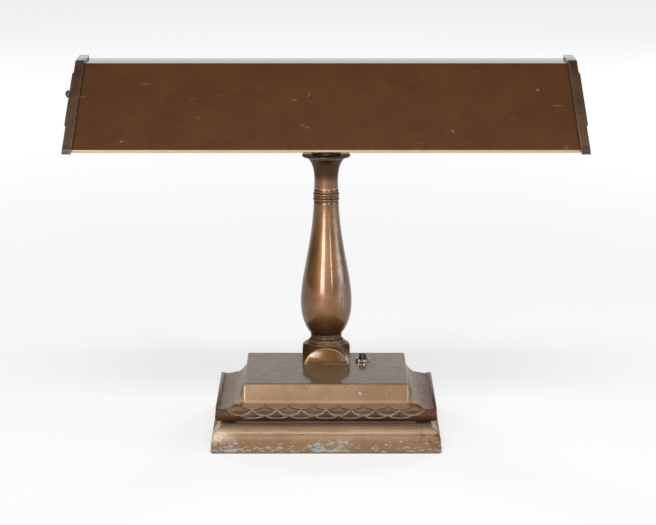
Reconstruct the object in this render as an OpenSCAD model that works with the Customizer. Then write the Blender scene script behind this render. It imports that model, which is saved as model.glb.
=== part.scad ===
// Bronze desk lamp with a long trough shade on a turned column and a stepped cast base.
// Origin: on the desk, under the column's axis. X runs along the shade, +Y to the back, +Z up.

/* [Base casting] */
// Width of the plinth, left to right
base_w = 224; // [204:1:250]
// Depth of the plinth, front to back
base_d = 181; // [170:1:205]
// Height of the casting, from its lower edge to the top plate
base_h = 62; // [58:1:72]
// Distance from the column's axis forward to the plinth's front edge
axis_front = 129; // [120:1:134]
// Wall thickness of the casting
base_wall = 4.5; // [3:0.5:6]
// Height of the plinth's edge under the quarter round
edge_h = 11.4; // [9:0.2:13]
// How far that edge leans in over its height
edge_lean = 1; // [0:0.1:2]
// Run of the quarter round, inwards
ovolo_run = 12; // [10:0.2:13]
// Rise of the quarter round
ovolo_rise = 12; // [10:0.2:13]
// Flat ledge behind the quarter round, up to the neck
neck_ledge = 11.3; // [9:0.1:13]
// Height of the neck under the band
neck_h = 2.1; // [1.6:0.1:3]
// Height of the scale band
band_h = 15.4; // [13:0.2:17]
// How far the band stands out in front of its centre line
band_bulge = 9; // [6:0.2:11]
// How far the riser's foot stands in front of the neck
riser_step = 1.3; // [0.5:0.1:3]
// How far the riser leans back over its height
riser_lean = 1.7; // [0:0.1:3]
// How far the cheeks beside the riser stand back
cheek_step = 1.2; // [0.5:0.1:2.5]

/* [Base ends] */
// Distance from the plinth's side to the lip's outer face
lip_inset = 4.6; // [3:0.2:8]
// Width of the lip along each end
lip_w = 3.4; // [2.4:0.1:5]
// Height of the lip over the floor of the cove
lip_h = 1.8; // [1:0.1:3]
// Radius of the hollow cove between plate and lip
cove_r = 22.2; // [20:0.2:24]
// Depth of the cove's floor under the top of the band
cove_cut = 2.1; // [1:0.1:3]
// Rounding under the lip's slab
slab_r = 4.5; // [2:0.5:6]

/* [Underside] */
// Thickness of the felt under the base
felt_t = 1.5; // [1:0.1:3]
// Distance of the felt's edge inside the plinth's edge
felt_inset = 1; // [0.5:0.1:3]
// Thickness of the bottom cover
cover_t = 1.2; // [0.8:0.1:2]
// Depth of the cover above the casting's lower edge
cover_up = 1.8; // [1.6:0.1:3]
// Radius of the cover screws' thread
cover_screw_r = 2; // [1.5:0.1:2.5]
// Length of a ballast case
ballast_l = 96; // [80:1:110]
// Width of a ballast case
ballast_w = 32; // [28:1:33]
// Height of a ballast case
ballast_h = 30; // [24:1:34]
// Radius of the hole that the mains cord passes through
inlet_r = 3.5; // [2.5:0.1:4]
// Height of the cord inlet above the casting's lower edge
inlet_up = 8.5; // [8:0.1:10]

/* [Push switch] */
// Distance of the switch to the right of the column's axis
switch_x = 36.6; // [34:0.2:50]
// Distance of the switch in front of the column's axis
switch_front = 11.5; // [0:0.5:14]
// Radius of the switch's round nut
switch_nut_r = 7; // [6.4:0.1:8]
// Height of the switch's nut
switch_nut_h = 3.4; // [2:0.1:4]
// Radius of the switch's threaded neck
switch_neck_r = 5.2; // [4.8:0.1:6]
// Radius of the button
button_r = 3.5; // [2.5:0.1:3.8]
// Height of the button above the nut
button_h = 5.3; // [4:0.1:7]
// Travel of the button
button_travel = 2.5; // [1:0.1:3]

/* [Column] */
// Width of the square block at the column's foot
block_w = 47.5; // [44:0.5:52]
// Height of the block, with the ring on its shoulder
block_h = 21.6; // [20:0.2:24]
// Radius of the curve that the block's corners are turned to
block_turn_r = 25.4; // [24:0.2:27]
// Height of the double bead between block and vase
collar_h = 5.4; // [4.6:0.1:7]
// Radius of the double bead
collar_r = 15.5; // [14.6:0.1:16.5]
// Height of the vase, with the rings on its neck
vase_h = 148.4; // [130:0.2:170]
// Largest radius of the vase
vase_r = 25.7; // [22:0.1:28]
// Radius of the vase's neck
neck_r = 12.45; // [11.8:0.05:13]
// Wall thickness of the hollow vase
vase_wall = 4; // [2.5:0.5:6]
// Height of the capital
capital_h = 34.6; // [30:0.2:40]
// Radius of the capital's plate
capital_r = 24.2; // [20:0.1:28]
// Thickness of the capital's plate
capital_plate_t = 2.8; // [2:0.1:4]
// Outer radius of the threaded tube through the column
tube_r = 5.1; // [4.6:0.05:5.6]
// Wall thickness of the threaded tube
tube_wall = 1.7; // [1.2:0.1:2.2]

/* [Swivel and tilt] */
// Height of the tilt axis above the capital
hinge_rise = 55.5; // [50:0.5:64]
// Inner width of the swivel yoke
yoke_gap = 24; // [22:0.5:30]
// Thickness of the yoke and of the tilt bracket
strap_t = 2.5; // [2:0.1:3]
// Width of the yoke and of the tilt bracket
strap_w = 18; // [14:0.5:20]
// Thickness of each friction washer
friction_t = 1; // [0.6:0.1:1.5]
// Radius of the hinge bolt
bolt_r = 3; // [2:0.1:3.5]

/* [Shade] */
// Length of the shade over the end caps' lower edges
shade_l = 508; // [496:1:560]
// Depth of the shade over the hems, front to back
shade_d = 177; // [172:1:190]
// Depth of the shade's flat top
shade_top_d = 44; // [42:1:50]
// Height of the shade's sheet
shade_h = 78; // [76:0.5:84]
// Height of the tilt axis above the hems
hinge_up = 40.7; // [38:0.1:44]
// Thickness of the shade's sheet
sheet_t = 0.9; // [0.6:0.1:1.5]
// Height of the upright hem
hem_h = 2.4; // [1.6:0.1:4]
// How far each end cap's rim stands proud of the sheet
cap_proud = 3.4; // [2.5:0.1:5]
// Width of each end cap's rim along the shade
cap_rim_w = 8.5; // [6:0.1:11]
// Thickness of each end cap's web
cap_web_t = 3; // [2:0.1:4]
// How far each end cap leans in over the shade's height
cap_lean = 8.1; // [4:0.1:10]
// Thickness of the raised panel on each end cap
panel_t = 2.7; // [1.5:0.1:4]
// Margin around the raised panel
panel_margin = 9; // [7:0.5:14]
// Radius of the round knob on the left end cap
knob_r = 4; // [3:0.1:5]
// How far the knob stands out of the panel
knob_h = 6.5; // [3:0.1:8]

/* [Lamps] */
// Radius of the fluorescent tubes
lamp_r = 12.7; // [12:0.1:13.5]
// Distance from each end of the shade in to the end faces of the tubes
lamp_inset = 35.3; // [33:0.1:42]
// Distance from the centre line to each tube's axis
lamp_y = 38; // [37:0.5:40]
// Depth of the tubes' axes under the tilt axis
lamp_drop = 16; // [14:0.5:18]
// Radius of the circle that a tube's pins stand on
pin_circle_r = 6.35; // [5.5:0.05:6.5]
// Radius of a tube's pins
pin_r = 1.2; // [0.9:0.05:1.4]
// Thickness of the reflector's sheet
reflector_t = 0.8; // [0.6:0.1:1.2]
// Thickness of the channel's steel
channel_t = 1.2; // [0.8:0.1:2]
// Depth of the channel, front to back
channel_d = 40; // [38:1:41]
// Radius of a starter can
starter_r = 8.75; // [8:0.05:10]
// Length of a starter can
starter_l = 33; // [28:0.5:34]
// Distance from the middle to each starter
starter_x = 85; // [60:1:120]

/* [Hidden] */
$fn = 64;

lamp_l = shade_l - 2 * lamp_inset;

// Clearances
fit_gap = 0.05;      // running fit, on the radius
pass_gap = 0.2;      // a piece that passes freely through a hole, on the radius
cut = 1;             // how far a cutting tool runs past a face
beyond = 20;         // how far a long tool runs past the shade

// Heights on the base, above the desk
base_z = felt_t;
plate_z = base_z + base_h;
side_x = base_w / 2;
front_y = -axis_front;
back_y = base_d - axis_front;

// Sections of the base, as [distance in from the plinth's edge, height above its lower edge]
arc_steps = 10;
ovolo_in = edge_lean + ovolo_run;
ovolo_top = edge_h + ovolo_rise;
neck_in = ovolo_in + neck_ledge;
band_low = ovolo_top + neck_h;
band_top = band_low + band_h;
riser_in = neck_in - riser_step;
plate_in = riser_in + riser_lean;
riser_edge_r = 1.3;
cove_floor = band_top - cove_cut;
cove_in = lip_inset + lip_w + 3;
cove_up = cove_floor + cove_r;
plate_side_in = cove_in + cove_r - 0.5;
plate_side_x = side_x - plate_side_in;

function plinth_points() = concat(
    [[0, 0], [edge_lean, edge_h]],
    [for (i = [1 : arc_steps]) let (a = 90 * i / arc_steps)
        [ovolo_in - ovolo_run * cos(a), edge_h + ovolo_rise * sin(a)]],
    [[neck_in, ovolo_top], [neck_in, band_low]]);

function riser_points(step) = concat(
    plinth_points(),
    [for (i = [0 : arc_steps]) let (a = -90 + 180 * i / arc_steps)
        [riser_in + 0.5 - band_bulge * cos(a), band_low + band_h / 2 * (1 + sin(a))]],
    [[riser_in + step, band_top], [plate_in + step, base_h - riser_edge_r],
     [plate_in + step + riser_edge_r, base_h]]);

function end_points() = concat(
    plinth_points(),
    [[lip_inset + slab_r, band_low]],
    [for (i = [1 : 4]) let (a = 90 * i / 4)
        [lip_inset - 0.6 + slab_r * (1 - sin(a)), band_low + slab_r * (1 - cos(a))]],
    [[lip_inset, cove_floor], [lip_inset + 0.5, cove_floor + lip_h],
     [lip_inset + lip_w - 0.5, cove_floor + lip_h], [lip_inset + lip_w, cove_floor + 0.3]],
    [for (i = [0 : arc_steps]) let (a = 71 * i / arc_steps)
        [cove_in + cove_r * sin(a), cove_up - cove_r * cos(a)]],
    [[plate_side_in - 0.6, base_h - riser_edge_r],
     [plate_side_in + riser_edge_r - 0.6, base_h]]);

// A closed section from its points on the low side, mirrored to the high side
function mirrored(points, low, high) = concat(
    [for (p = points) [low + p[0], p[1]]],
    [for (i = [len(points) - 1 : -1 : 0]) [high - points[i][0], points[i][1]]]);

// A prism along X from a section in Y and Z, and a prism along Y from a section in X and Z
module along_x(length) rotate([90, 0, 90]) linear_extrude(height = length, center = true) children();
module along_y(length) rotate([90, 0, 0]) linear_extrude(height = length, center = true) children();

// A box given by its low and high corners
module span(low, high) translate(low) cube(high - low);

// An upright cylinder between two heights, and one along X
module post(r, low, high) translate([0, 0, low]) cylinder(r = r, h = high - low);
module rod(r, length) rotate([0, 90, 0]) cylinder(r = r, h = length);

module ring(outer_r, inner_r, height) difference() {
    cylinder(r = outer_r, h = height);
    translate([0, 0, -cut]) cylinder(r = inner_r, h = height + 2 * cut);
}

module hex_nut(across, inner_r, height) difference() {
    cylinder(r = across / sqrt(3), h = height, $fn = 6);
    translate([0, 0, -cut]) cylinder(r = inner_r, h = height + 2 * cut);
}

// ---- Base ----

module base_outline(step, half) intersection() {
    along_x(base_w) polygon(mirrored(riser_points(step), front_y, back_y));
    translate([0, (front_y + back_y) / 2, 0])
        along_y(base_d) polygon(mirrored(end_points(), -side_x, side_x));
    translate([-half, front_y, 0]) cube([2 * half, base_d, base_h]);
}

// Insets of the three steps of the casting's inside, and the heights where they end
low_room_in = edge_lean + 8;
low_room_up = edge_h + ovolo_rise / 2;
mid_room_in = neck_in + base_wall;
mid_room_up = band_low + band_h / 2;
top_room_in = cove_in + cove_r + base_wall;
top_room_up = base_h - base_wall;
plate_room_in = plate_in + base_wall;

module room(inset_x, inset_y, low, high)
    span([-side_x + inset_x, front_y + inset_y, low], [side_x - inset_x, back_y - inset_y, high]);

cover_inset = low_room_in + 0.4;
cover_screw_in = low_room_in + 8;
cover_boss_r = 6;
cover_screw_l = 8;
cover_z = base_z + cover_up;

module at_cover_screws()
    for (x = [-side_x + cover_screw_in, side_x - cover_screw_in],
         y = [front_y + cover_screw_in, back_y - cover_screw_in])
        translate([x, y, 0]) children();

bushing_r = inlet_r + 1.5;
bushing_flange_r = inlet_r + 3;
bushing_flange_t = 1.5;
inlet_spot_in = edge_lean + 3.4;
inlet_z = base_z + inlet_up;

module base_casting() color([0.52, 0.36, 0.22]) difference() {
    translate([0, 0, base_z]) {
        difference() {
            union() {
                base_outline(cheek_step, side_x);
                base_outline(0, plate_side_x + 0.6);
            }
            room(low_room_in, low_room_in, -cut, low_room_up);
            room(mid_room_in, mid_room_in, -cut, mid_room_up);
            room(top_room_in, plate_room_in, -cut, top_room_up);
        }
        at_cover_screws() difference() {
            post(cover_boss_r, cover_up + cover_t, low_room_up);
            post(cover_screw_r, 0, low_room_up - 2);
        }
    }
    post(tube_r + pass_gap, top_room_up, plate_z + cut);
    at_switch() post(switch_neck_r + pass_gap, top_room_up, plate_z + cut);
    translate([0, back_y + cut, inlet_z]) rotate([90, 0, 0]) {
        cylinder(r = bushing_flange_r + pass_gap, h = inlet_spot_in + cut);
        cylinder(r = bushing_r + fit_gap, h = low_room_in + 2 * cut);
    }
}

module cord_bushing() color([0.08, 0.08, 0.08])
    translate([0, back_y - inlet_spot_in, inlet_z]) rotate([90, 0, 0]) difference() {
        union() {
            translate([0, 0, -bushing_flange_t]) cylinder(r = bushing_flange_r, h = bushing_flange_t);
            cylinder(r = bushing_r, h = low_room_in - inlet_spot_in + 1.5);
        }
        translate([0, 0, -bushing_flange_t - cut]) cylinder(r = inlet_r, h = low_room_in + 2 * cut);
    }

module felt_pad() color([0.10, 0.11, 0.10])
    span([-side_x + felt_inset, front_y + felt_inset, 0],
         [side_x - felt_inset, back_y - felt_inset, felt_t]);

module bottom_cover() color([0.45, 0.45, 0.46]) difference() {
    span([-side_x + cover_inset, front_y + cover_inset, cover_z],
         [side_x - cover_inset, back_y - cover_inset, cover_z + cover_t]);
    at_cover_screws() post(cover_screw_r + pass_gap, cover_z - cut, cover_z + cover_t + cut);
    at_ballast_screws() post(ballast_screw_r + pass_gap, cover_z - cut, cover_z + cover_t + cut);
}

module cover_screws() color([0.7, 0.7, 0.72]) at_cover_screws() translate([0, 0, cover_z]) {
    translate([0, 0, -1.4]) cylinder(r = cover_screw_r + 1.8, h = 1.4);
    translate([0, 0, -0.1]) cylinder(r = cover_screw_r - fit_gap, h = cover_t + cover_screw_l + 0.1);
}

// Two ballasts lie side by side on the bottom cover, in front of the switch's body
switch_body_w = 21;
ballast_screw_r = 2;
ballast_gap = 4;
ballast_foot = 12;
ballast_foot_t = 1.5;
ballast_floor = cover_z + cover_t;
ballast_y = [-switch_front - switch_body_w / 2 - 4 - ballast_w * 1.5 - ballast_gap,
             -switch_front - switch_body_w / 2 - 4 - ballast_w / 2];

module at_ballast_screws()
    for (y = ballast_y, x = [-1, 1])
        translate([x * (ballast_l / 2 + ballast_foot / 2), y, 0]) children();

module ballast(y) color([0.16, 0.16, 0.17]) translate([0, y, ballast_floor]) difference() {
    union() {
        translate([-ballast_l / 2, -ballast_w / 2, 0]) cube([ballast_l, ballast_w, ballast_h]);
        translate([-ballast_l / 2 - ballast_foot, -ballast_w / 2, 0])
            cube([ballast_l + 2 * ballast_foot, ballast_w, ballast_foot_t]);
    }
    for (x = [-1, 1]) translate([x * (ballast_l / 2 + ballast_foot / 2), 0, -cut])
        cylinder(r = ballast_screw_r + pass_gap, h = ballast_foot_t + 2 * cut);
}

module ballast_front() ballast(ballast_y[0]);
module ballast_rear() ballast(ballast_y[1]);

module ballast_screws() color([0.7, 0.7, 0.72]) at_ballast_screws() {
    translate([0, 0, cover_z - 1.2]) cylinder(r = ballast_screw_r + 1.6, h = 1.2);
    translate([0, 0, cover_z - 0.1]) cylinder(r = ballast_screw_r, h = cover_t + ballast_foot_t + 4.1);
    translate([0, 0, ballast_floor + ballast_foot_t]) hex_nut(6, ballast_screw_r - 0.1, 2.4);
}

// ---- Push switch ----

switch_body_h = 23;
nut_chamfer = 0.7;
button_foot_h = 6;
button_foot_t = 1.5;
under_plate_z = base_z + top_room_up;
switch_top_z = plate_z + switch_nut_h;
button_z = under_plate_z - button_foot_h;
button_long = switch_top_z + button_h - button_z;

module at_switch() translate([switch_x, -switch_front, 0]) children();

module switch_body() color([0.12, 0.12, 0.13]) at_switch() difference() {
    union() {
        translate([-switch_body_w / 2, -switch_body_w / 2, under_plate_z - switch_body_h])
            cube([switch_body_w, switch_body_w, switch_body_h]);
        post(switch_neck_r, under_plate_z - cut, switch_top_z - 0.4);
    }
    post(button_r + 1.6, button_z - button_travel - 1, button_z + button_foot_t + 0.05);
    post(button_r + fit_gap, button_z, switch_top_z + cut);
}

module switch_nut() color([0.75, 0.74, 0.70]) at_switch() translate([0, 0, plate_z]) difference() {
    union() {
        cylinder(r = switch_nut_r, h = switch_nut_h - nut_chamfer);
        translate([0, 0, switch_nut_h - nut_chamfer])
            cylinder(r1 = switch_nut_r, r2 = switch_nut_r - nut_chamfer, h = nut_chamfer);
    }
    translate([0, 0, -cut]) cylinder(r = switch_neck_r + fit_gap, h = switch_nut_h + 2 * cut);
}

module switch_button() color([0.03, 0.03, 0.03]) at_switch() translate([0, 0, button_z]) rotate_extrude()
    polygon([[0, 0], [button_r + 1.2, 0], [button_r + 1.2, button_foot_t], [button_r, button_foot_t],
             [button_r, button_long - 0.8], [button_r - 0.8, button_long - 0.2], [0, button_long]]);

// ---- Column ----

column_h = block_h + collar_h + vase_h + capital_h;
column_top = plate_z + column_h;
bore_r = tube_r + pass_gap;
washer_t = 1.5;
locknut_across = 17;
locknut_h = 5;

// Round pieces of the column, each from its own base up, as [radius, height]
module turned(points) rotate_extrude($fn = 96) polygon(points);

// The shoulder of the block follows one arc from the plate up to the fillet
turn_in = 7;
turn_low = -3.1;
shoulder_h = block_h - 4;
function turn_r(h) = turn_in + sqrt(pow(block_turn_r, 2) - pow(h - turn_low, 2));

module pedestal_block() color([0.50, 0.34, 0.20]) translate([0, 0, plate_z]) difference() {
    union() {
        intersection() {
            turned(concat([[0, 0]], [for (i = [0 : 9]) [turn_r(shoulder_h * i / 9), shoulder_h * i / 9]],
                          [[0, shoulder_h]]));
            translate([-block_w / 2, -block_w / 2, 0]) cube([block_w, block_w, block_h]);
        }
        turned(concat(
            [[0, shoulder_h - 1], [collar_r + 4.2, shoulder_h - 1], [collar_r + 4.2, shoulder_h + 0.5]],
            [for (i = [1 : 5]) let (a = 90 * i / 5)
                [collar_r + 1.3 + 2.6 * (1 - sin(a)), shoulder_h + 0.5 + 1.2 * (1 - cos(a))]],
            [for (i = [0 : 6]) let (a = -90 + 180 * i / 6)
                [collar_r + 0.9 + 1.1 * cos(a), shoulder_h + 2.75 + 1.05 * sin(a)]],
            [[collar_r - 0.7, block_h - 0.2], [collar_r - 0.7, block_h], [0, block_h]]));
    }
    translate([0, 0, -cut]) cylinder(r = bore_r, h = block_h + 2 * cut);
}

module column_collar() color([0.50, 0.34, 0.20]) translate([0, 0, plate_z + block_h])
    turned(concat(
        [[bore_r, 0], [collar_r - 0.8, 0]],
        [for (i = [0 : 6]) let (a = -90 + 180 * i / 6)
            [collar_r - 0.6 + 0.55 * cos(a), collar_h * 0.3 + collar_h * 0.24 * sin(a)]],
        [[collar_r - 0.8, collar_h * 0.56]],
        [for (i = [0 : 6]) let (a = -90 + 180 * i / 6)
            [collar_r - 0.5 + 0.5 * cos(a), collar_h * 0.78 + collar_h * 0.2 * sin(a)]],
        [[collar_r - 0.9, collar_h], [bore_r, collar_h]]));

// The vase swells along an ellipse, then draws in to its neck along one cubic curve
vase_foot_r = collar_r - 0.4;
vase_swell_h = 32.2;
rings_h = 13;
vase_neck_h = vase_h - rings_h;
vase_steps = 14;
function vase_low(i) = let (a = 90 - asin(vase_foot_r / vase_r), s = a * (1 - i / vase_steps))
    [vase_r * cos(s), vase_swell_h * (1 - sin(s) / sin(a))];
function cubic(a, b, c, d, t) =
    a * pow(1 - t, 3) + 3 * b * t * pow(1 - t, 2) + 3 * c * t * t * (1 - t) + d * pow(t, 3);
function vase_high(t) = [
    cubic(vase_r, vase_r, neck_r + 1.75, neck_r, t),
    cubic(vase_swell_h, vase_swell_h + 0.277 * (vase_neck_h - vase_swell_h),
          vase_neck_h - 0.434 * (vase_neck_h - vase_swell_h), vase_neck_h, t)];
function vase_side() = concat([for (i = [0 : vase_steps]) vase_low(i)],
                              [for (i = [1 : 2 * vase_steps]) vase_high(i / (2 * vase_steps))]);

// A bead as a half round between two heights
function bead(r, low, high, bulge) = [for (i = [0 : 6]) let (a = -90 + 180 * i / 6)
    [r + bulge * cos(a), (low + high) / 2 + (high - low) / 2 * sin(a)]];

vase_z = plate_z + block_h + collar_h;

module column_vase() color([0.50, 0.34, 0.20]) translate([0, 0, vase_z]) difference() {
    turned(concat(
        [[bore_r, 0]], vase_side(),
        bead(neck_r, vase_neck_h + 0.6, vase_neck_h + 2.8, 0.55),
        [[neck_r + 0.1, vase_neck_h + 3.1]],
        bead(neck_r + 0.45, vase_neck_h + 3.4, vase_neck_h + 6.3, 0.35),
        [[neck_r + 0.05, vase_neck_h + 6.7]],
        bead(neck_r, vase_neck_h + 7.1, vase_neck_h + 9.5, 0.5),
        [[neck_r, vase_neck_h + 9.9], [neck_r + 0.2, vase_neck_h + 10.3],
         [neck_r + 0.2, vase_neck_h + 11.4], [neck_r - 0.35, rings_h + vase_neck_h], [bore_r, vase_h]]));
    // Hollow of the cast vase, clear of the tube
    turned(concat(
        [[0, vase_wall + 2]],
        [for (p = vase_side()) if (p[0] - vase_wall > bore_r + 2 && p[1] > vase_wall + 2)
            [p[0] - vase_wall, p[1]]],
        [[0, max([for (p = vase_side()) if (p[0] - vase_wall > bore_r + 2) p[1]]) + 4]]));
}

// The capital flares along a quarter ellipse into its plate
flare_foot_r = neck_r - 0.6;
flare_r = capital_r - 1.7;
flare_low = 9.8;
flare_high = capital_h - capital_plate_t;

module column_capital() color([0.50, 0.34, 0.20]) translate([0, 0, column_top - capital_h]) difference() {
    turned(concat(
        [[bore_r, 0], [neck_r - 0.35, 0], [flare_foot_r, 4]],
        [for (i = [0 : 12]) let (a = 90 * i / 12)
            [flare_r - (flare_r - flare_foot_r) * cos(a), flare_low + (flare_high - flare_low) * sin(a)]],
        [[capital_r - 0.5, flare_high], [capital_r, flare_high + 0.5], [capital_r, capital_h - 0.5],
         [capital_r - 0.5, capital_h], [bore_r, capital_h]]));
    translate([0, stop_y, capital_h - stop_depth]) cylinder(r = stop_r, h = stop_depth + cut);
}

module threaded_tube() color([0.72, 0.58, 0.30]) translate([0, 0, tube_low])
    ring(tube_r, tube_r - tube_wall, tube_high - tube_low);

tube_low = under_plate_z - washer_t - locknut_h - 3;
tube_high = column_top + friction_t + strap_t + washer_t + locknut_h + 1;

module tube_washer() color([0.7, 0.7, 0.72]) translate([0, 0, under_plate_z - washer_t])
    ring(13, tube_r + fit_gap, washer_t);

module tube_locknut() color([0.72, 0.58, 0.30]) translate([0, 0, under_plate_z - washer_t - locknut_h])
    hex_nut(locknut_across, tube_r + 0.01, locknut_h);

// Four insulated leads run up inside the tube
lead_r = 1.1;
lead_ring_r = tube_r - tube_wall - lead_r - 0.15;
module column_leads() color([0.85, 0.82, 0.70]) for (a = [45 : 90 : 315])
    rotate([0, 0, a]) translate([lead_ring_r, 0, 0]) post(lead_r, tube_low - 6, tube_high + 4, $fn = 24);

// ---- Swivel ----

stop_r = 1.25;
stop_y = 20;
stop_depth = 2.5;
yoke_r = 12.5;
yoke_low = column_top + friction_t;
hinge_z = column_top + hinge_rise;
yoke_x = yoke_gap / 2 + strap_t;

module stop_pin() color([0.7, 0.7, 0.72]) translate([0, stop_y, column_top - stop_depth])
    cylinder(r = stop_r, h = stop_depth + friction_t + strap_t + 0.5);

module swivel_washer() color([0.35, 0.20, 0.12]) translate([0, 0, column_top])
    ring(yoke_r, tube_r + fit_gap, friction_t);

module swivel_yoke() color([0.62, 0.62, 0.64]) difference() {
    union() {
        translate([-yoke_x, -strap_w / 2, yoke_low]) cube([2 * yoke_x, strap_w, strap_t]);
        translate([0, 0, yoke_low]) cylinder(r = yoke_r, h = strap_t);
        // Tab that meets the stop pin
        translate([-3, -stop_y - 2, yoke_low]) cube([6, stop_y, strap_t]);
        for (side = [-1, 1]) translate([side * (yoke_x - strap_t / 2), 0, 0]) {
            translate([-strap_t / 2, -strap_w / 2, yoke_low]) cube([strap_t, strap_w, hinge_z - yoke_low]);
            translate([-strap_t / 2, 0, hinge_z]) rod(strap_w / 2, strap_t);
        }
    }
    translate([0, 0, yoke_low - cut]) cylinder(r = tube_r + fit_gap, h = strap_t + 2 * cut);
    translate([-yoke_x - cut, 0, hinge_z]) rod(bolt_r + fit_gap, 2 * (yoke_x + cut));
}

module swivel_top_washer() color([0.7, 0.7, 0.72]) translate([0, 0, yoke_low + strap_t])
    ring(9.5, tube_r + fit_gap, washer_t);

module swivel_locknut() color([0.72, 0.58, 0.30]) translate([0, 0, yoke_low + strap_t + washer_t])
    hex_nut(locknut_across, tube_r + 0.01, locknut_h);

// ---- Tilt hinge ----

reflector_z = hinge_z + 15;
bracket_x = yoke_x + friction_t;
bracket_plate_z = reflector_z - reflector_t - strap_t;
bolt_head_h = 4;
bolt_nut_h = 5;
bracket_screw_x = bracket_x + strap_t + 7;
bracket_screw_y = 5;
bracket_screw_r = 1.8;
bracket_end = 6;

module friction_washers() color([0.35, 0.20, 0.12]) for (side = [-1, 1])
    translate([side * (yoke_x + friction_t / 2) - friction_t / 2, 0, hinge_z]) rotate([0, 90, 0])
        ring(strap_w / 2 - 1, bolt_r + fit_gap, friction_t);

module hinge_bolt() color([0.7, 0.7, 0.72]) translate([0, 0, hinge_z]) rotate([0, 90, 0]) {
    post(bolt_r + 2.5, -bracket_x - strap_t - bolt_head_h, -bracket_x - strap_t, $fn = 6);
    post(bolt_r, -bracket_x - strap_t, bracket_x + strap_t + bolt_nut_h + 2);
}

module hinge_nut() color([0.72, 0.58, 0.30]) translate([bracket_x + strap_t, 0, hinge_z]) rotate([0, 90, 0])
    ring(bolt_r + 4, bolt_r + 0.01, bolt_nut_h);

module at_bracket_screws() for (x = [-1, 1], y = [-1, 1])
    translate([x * bracket_screw_x, y * bracket_screw_y, 0]) children();

module tilt_bracket() color([0.62, 0.62, 0.64]) difference() {
    union() {
        translate([-bracket_screw_x - bracket_end, -strap_w / 2, bracket_plate_z])
            cube([2 * (bracket_screw_x + bracket_end), strap_w, strap_t]);
        for (side = [-1, 1]) translate([side * (bracket_x + strap_t / 2) - strap_t / 2, 0, 0]) {
            span([0, -strap_w / 2, hinge_z], [strap_t, strap_w / 2, bracket_plate_z + strap_t]);
            translate([0, 0, hinge_z]) rod(strap_w / 2, strap_t);
        }
    }
    translate([-bracket_x - strap_t - cut, 0, hinge_z])
        rod(bolt_r + fit_gap, 2 * (bracket_x + strap_t + cut));
    at_bracket_screws()
        post(bracket_screw_r + pass_gap, bracket_plate_z - cut, bracket_plate_z + strap_t + cut);
}

module bracket_screws() color([0.7, 0.7, 0.72]) at_bracket_screws() {
    post(bracket_screw_r + 1.6, bracket_plate_z - 2, bracket_plate_z);
    post(bracket_screw_r, bracket_plate_z - 0.1, reflector_z + channel_t + 2.9);
}

// ---- Shade ----

// The shade's section: upright hems, sloping sides and a flat top
hem_z = hinge_z - hinge_up;
shade_top = hem_z + shade_h;
half_top = shade_top_d / 2;
half_low = shade_d / 2;
slope = atan2(shade_h - hem_h, half_low - half_top);

// The section drawn in by a distance, or out by a negative one, and cut off at a low height
function shade_side(inset, low) =
    let (corner = hem_z + hem_h - inset * tan((90 - slope) / 2),
         low_y = half_low - inset - max(0, low - corner) / tan(slope))
    concat([[low_y, low]], low < corner ? [[half_low - inset, corner]] : [],
           [[half_top - inset * tan(slope / 2), shade_top - inset]]);
function shade_section(inset, low) = let (p = shade_side(inset, low))
    concat([for (q = p) [-q[0], q[1]]], [for (i = [len(p) - 1 : -1 : 0]) p[i]]);

// Half length over the caps' outer faces at a height, and a slab that follows their lean
cap_low = hem_z - 1.5;
lean_tan = cap_lean / shade_h;
function cap_x(z) = shade_l / 2 - (z - cap_low) * lean_tan;
function lean_points(from, to, low, high) =
    [[cap_x(low) + from, low], [cap_x(low) + to, low],
     [cap_x(high) + to, high], [cap_x(high) + from, high]];
module lean_slab(from, to) along_y(shade_d + 2 * beyond)
    polygon(lean_points(from, to, cap_low - beyond, shade_top + beyond));

sheet_gap = 0.15;
module shade_shell() color([0.33, 0.23, 0.16]) intersection() {
    difference() {
        along_x(shade_l) polygon(shade_section(0, hem_z));
        along_x(shade_l + 2) polygon(shade_section(sheet_t, hem_z - cut));
    }
    intersection() {
        lean_slab(-shade_l, -cap_web_t - sheet_gap);
        mirror([1, 0, 0]) lean_slab(-shade_l, -cap_web_t - sheet_gap);
    }
}

// The caps' panel, the boss behind it and the screw through both lie level
cap_screw_r = 2;
cap_screw_z = hinge_z + 4;
cap_boss_r = 5;
cap_spot_x = cap_x(cap_screw_z) + panel_t - 1;
holder_t = 11;
holder_gap = 0.6;
plate_x = lamp_l / 2 + holder_gap + holder_t;

module end_cap() difference() {
    union() {
        intersection() {
            difference() {
                along_x(shade_l + 2 * beyond) polygon(shade_section(-cap_proud, cap_low));
                along_x(shade_l + 2 * beyond + 2) polygon(shade_section(-sheet_gap, cap_low - cut));
            }
            lean_slab(-cap_rim_w, 0);
        }
        intersection() {
            along_x(shade_l + 2 * beyond) polygon(shade_section(-cap_proud, cap_low));
            lean_slab(-cap_web_t, 0);
        }
        intersection() {
            along_x(shade_l + 2 * beyond) polygon(shade_section(panel_margin, hem_z + 20));
            lean_slab(-cut, panel_t);
        }
        translate([plate_x + holder_plate_t, 0, cap_screw_z])
            rod(cap_boss_r, cap_x(cap_screw_z) - cap_web_t / 2 - plate_x - holder_plate_t);
    }
    translate([plate_x, 0, cap_screw_z]) rod(cap_screw_r + pass_gap, 2 * beyond);
    translate([cap_spot_x, 0, cap_screw_z]) rod(knob_r + 0.4, beyond);
}

module end_cap_right() color([0.36, 0.25, 0.17]) end_cap();
module end_cap_left() color([0.36, 0.25, 0.17]) mirror([1, 0, 0]) end_cap();

module cap_shank() translate([plate_x - 2, 0, cap_screw_z]) rod(cap_screw_r, cap_spot_x - plate_x + 2.1);

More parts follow.
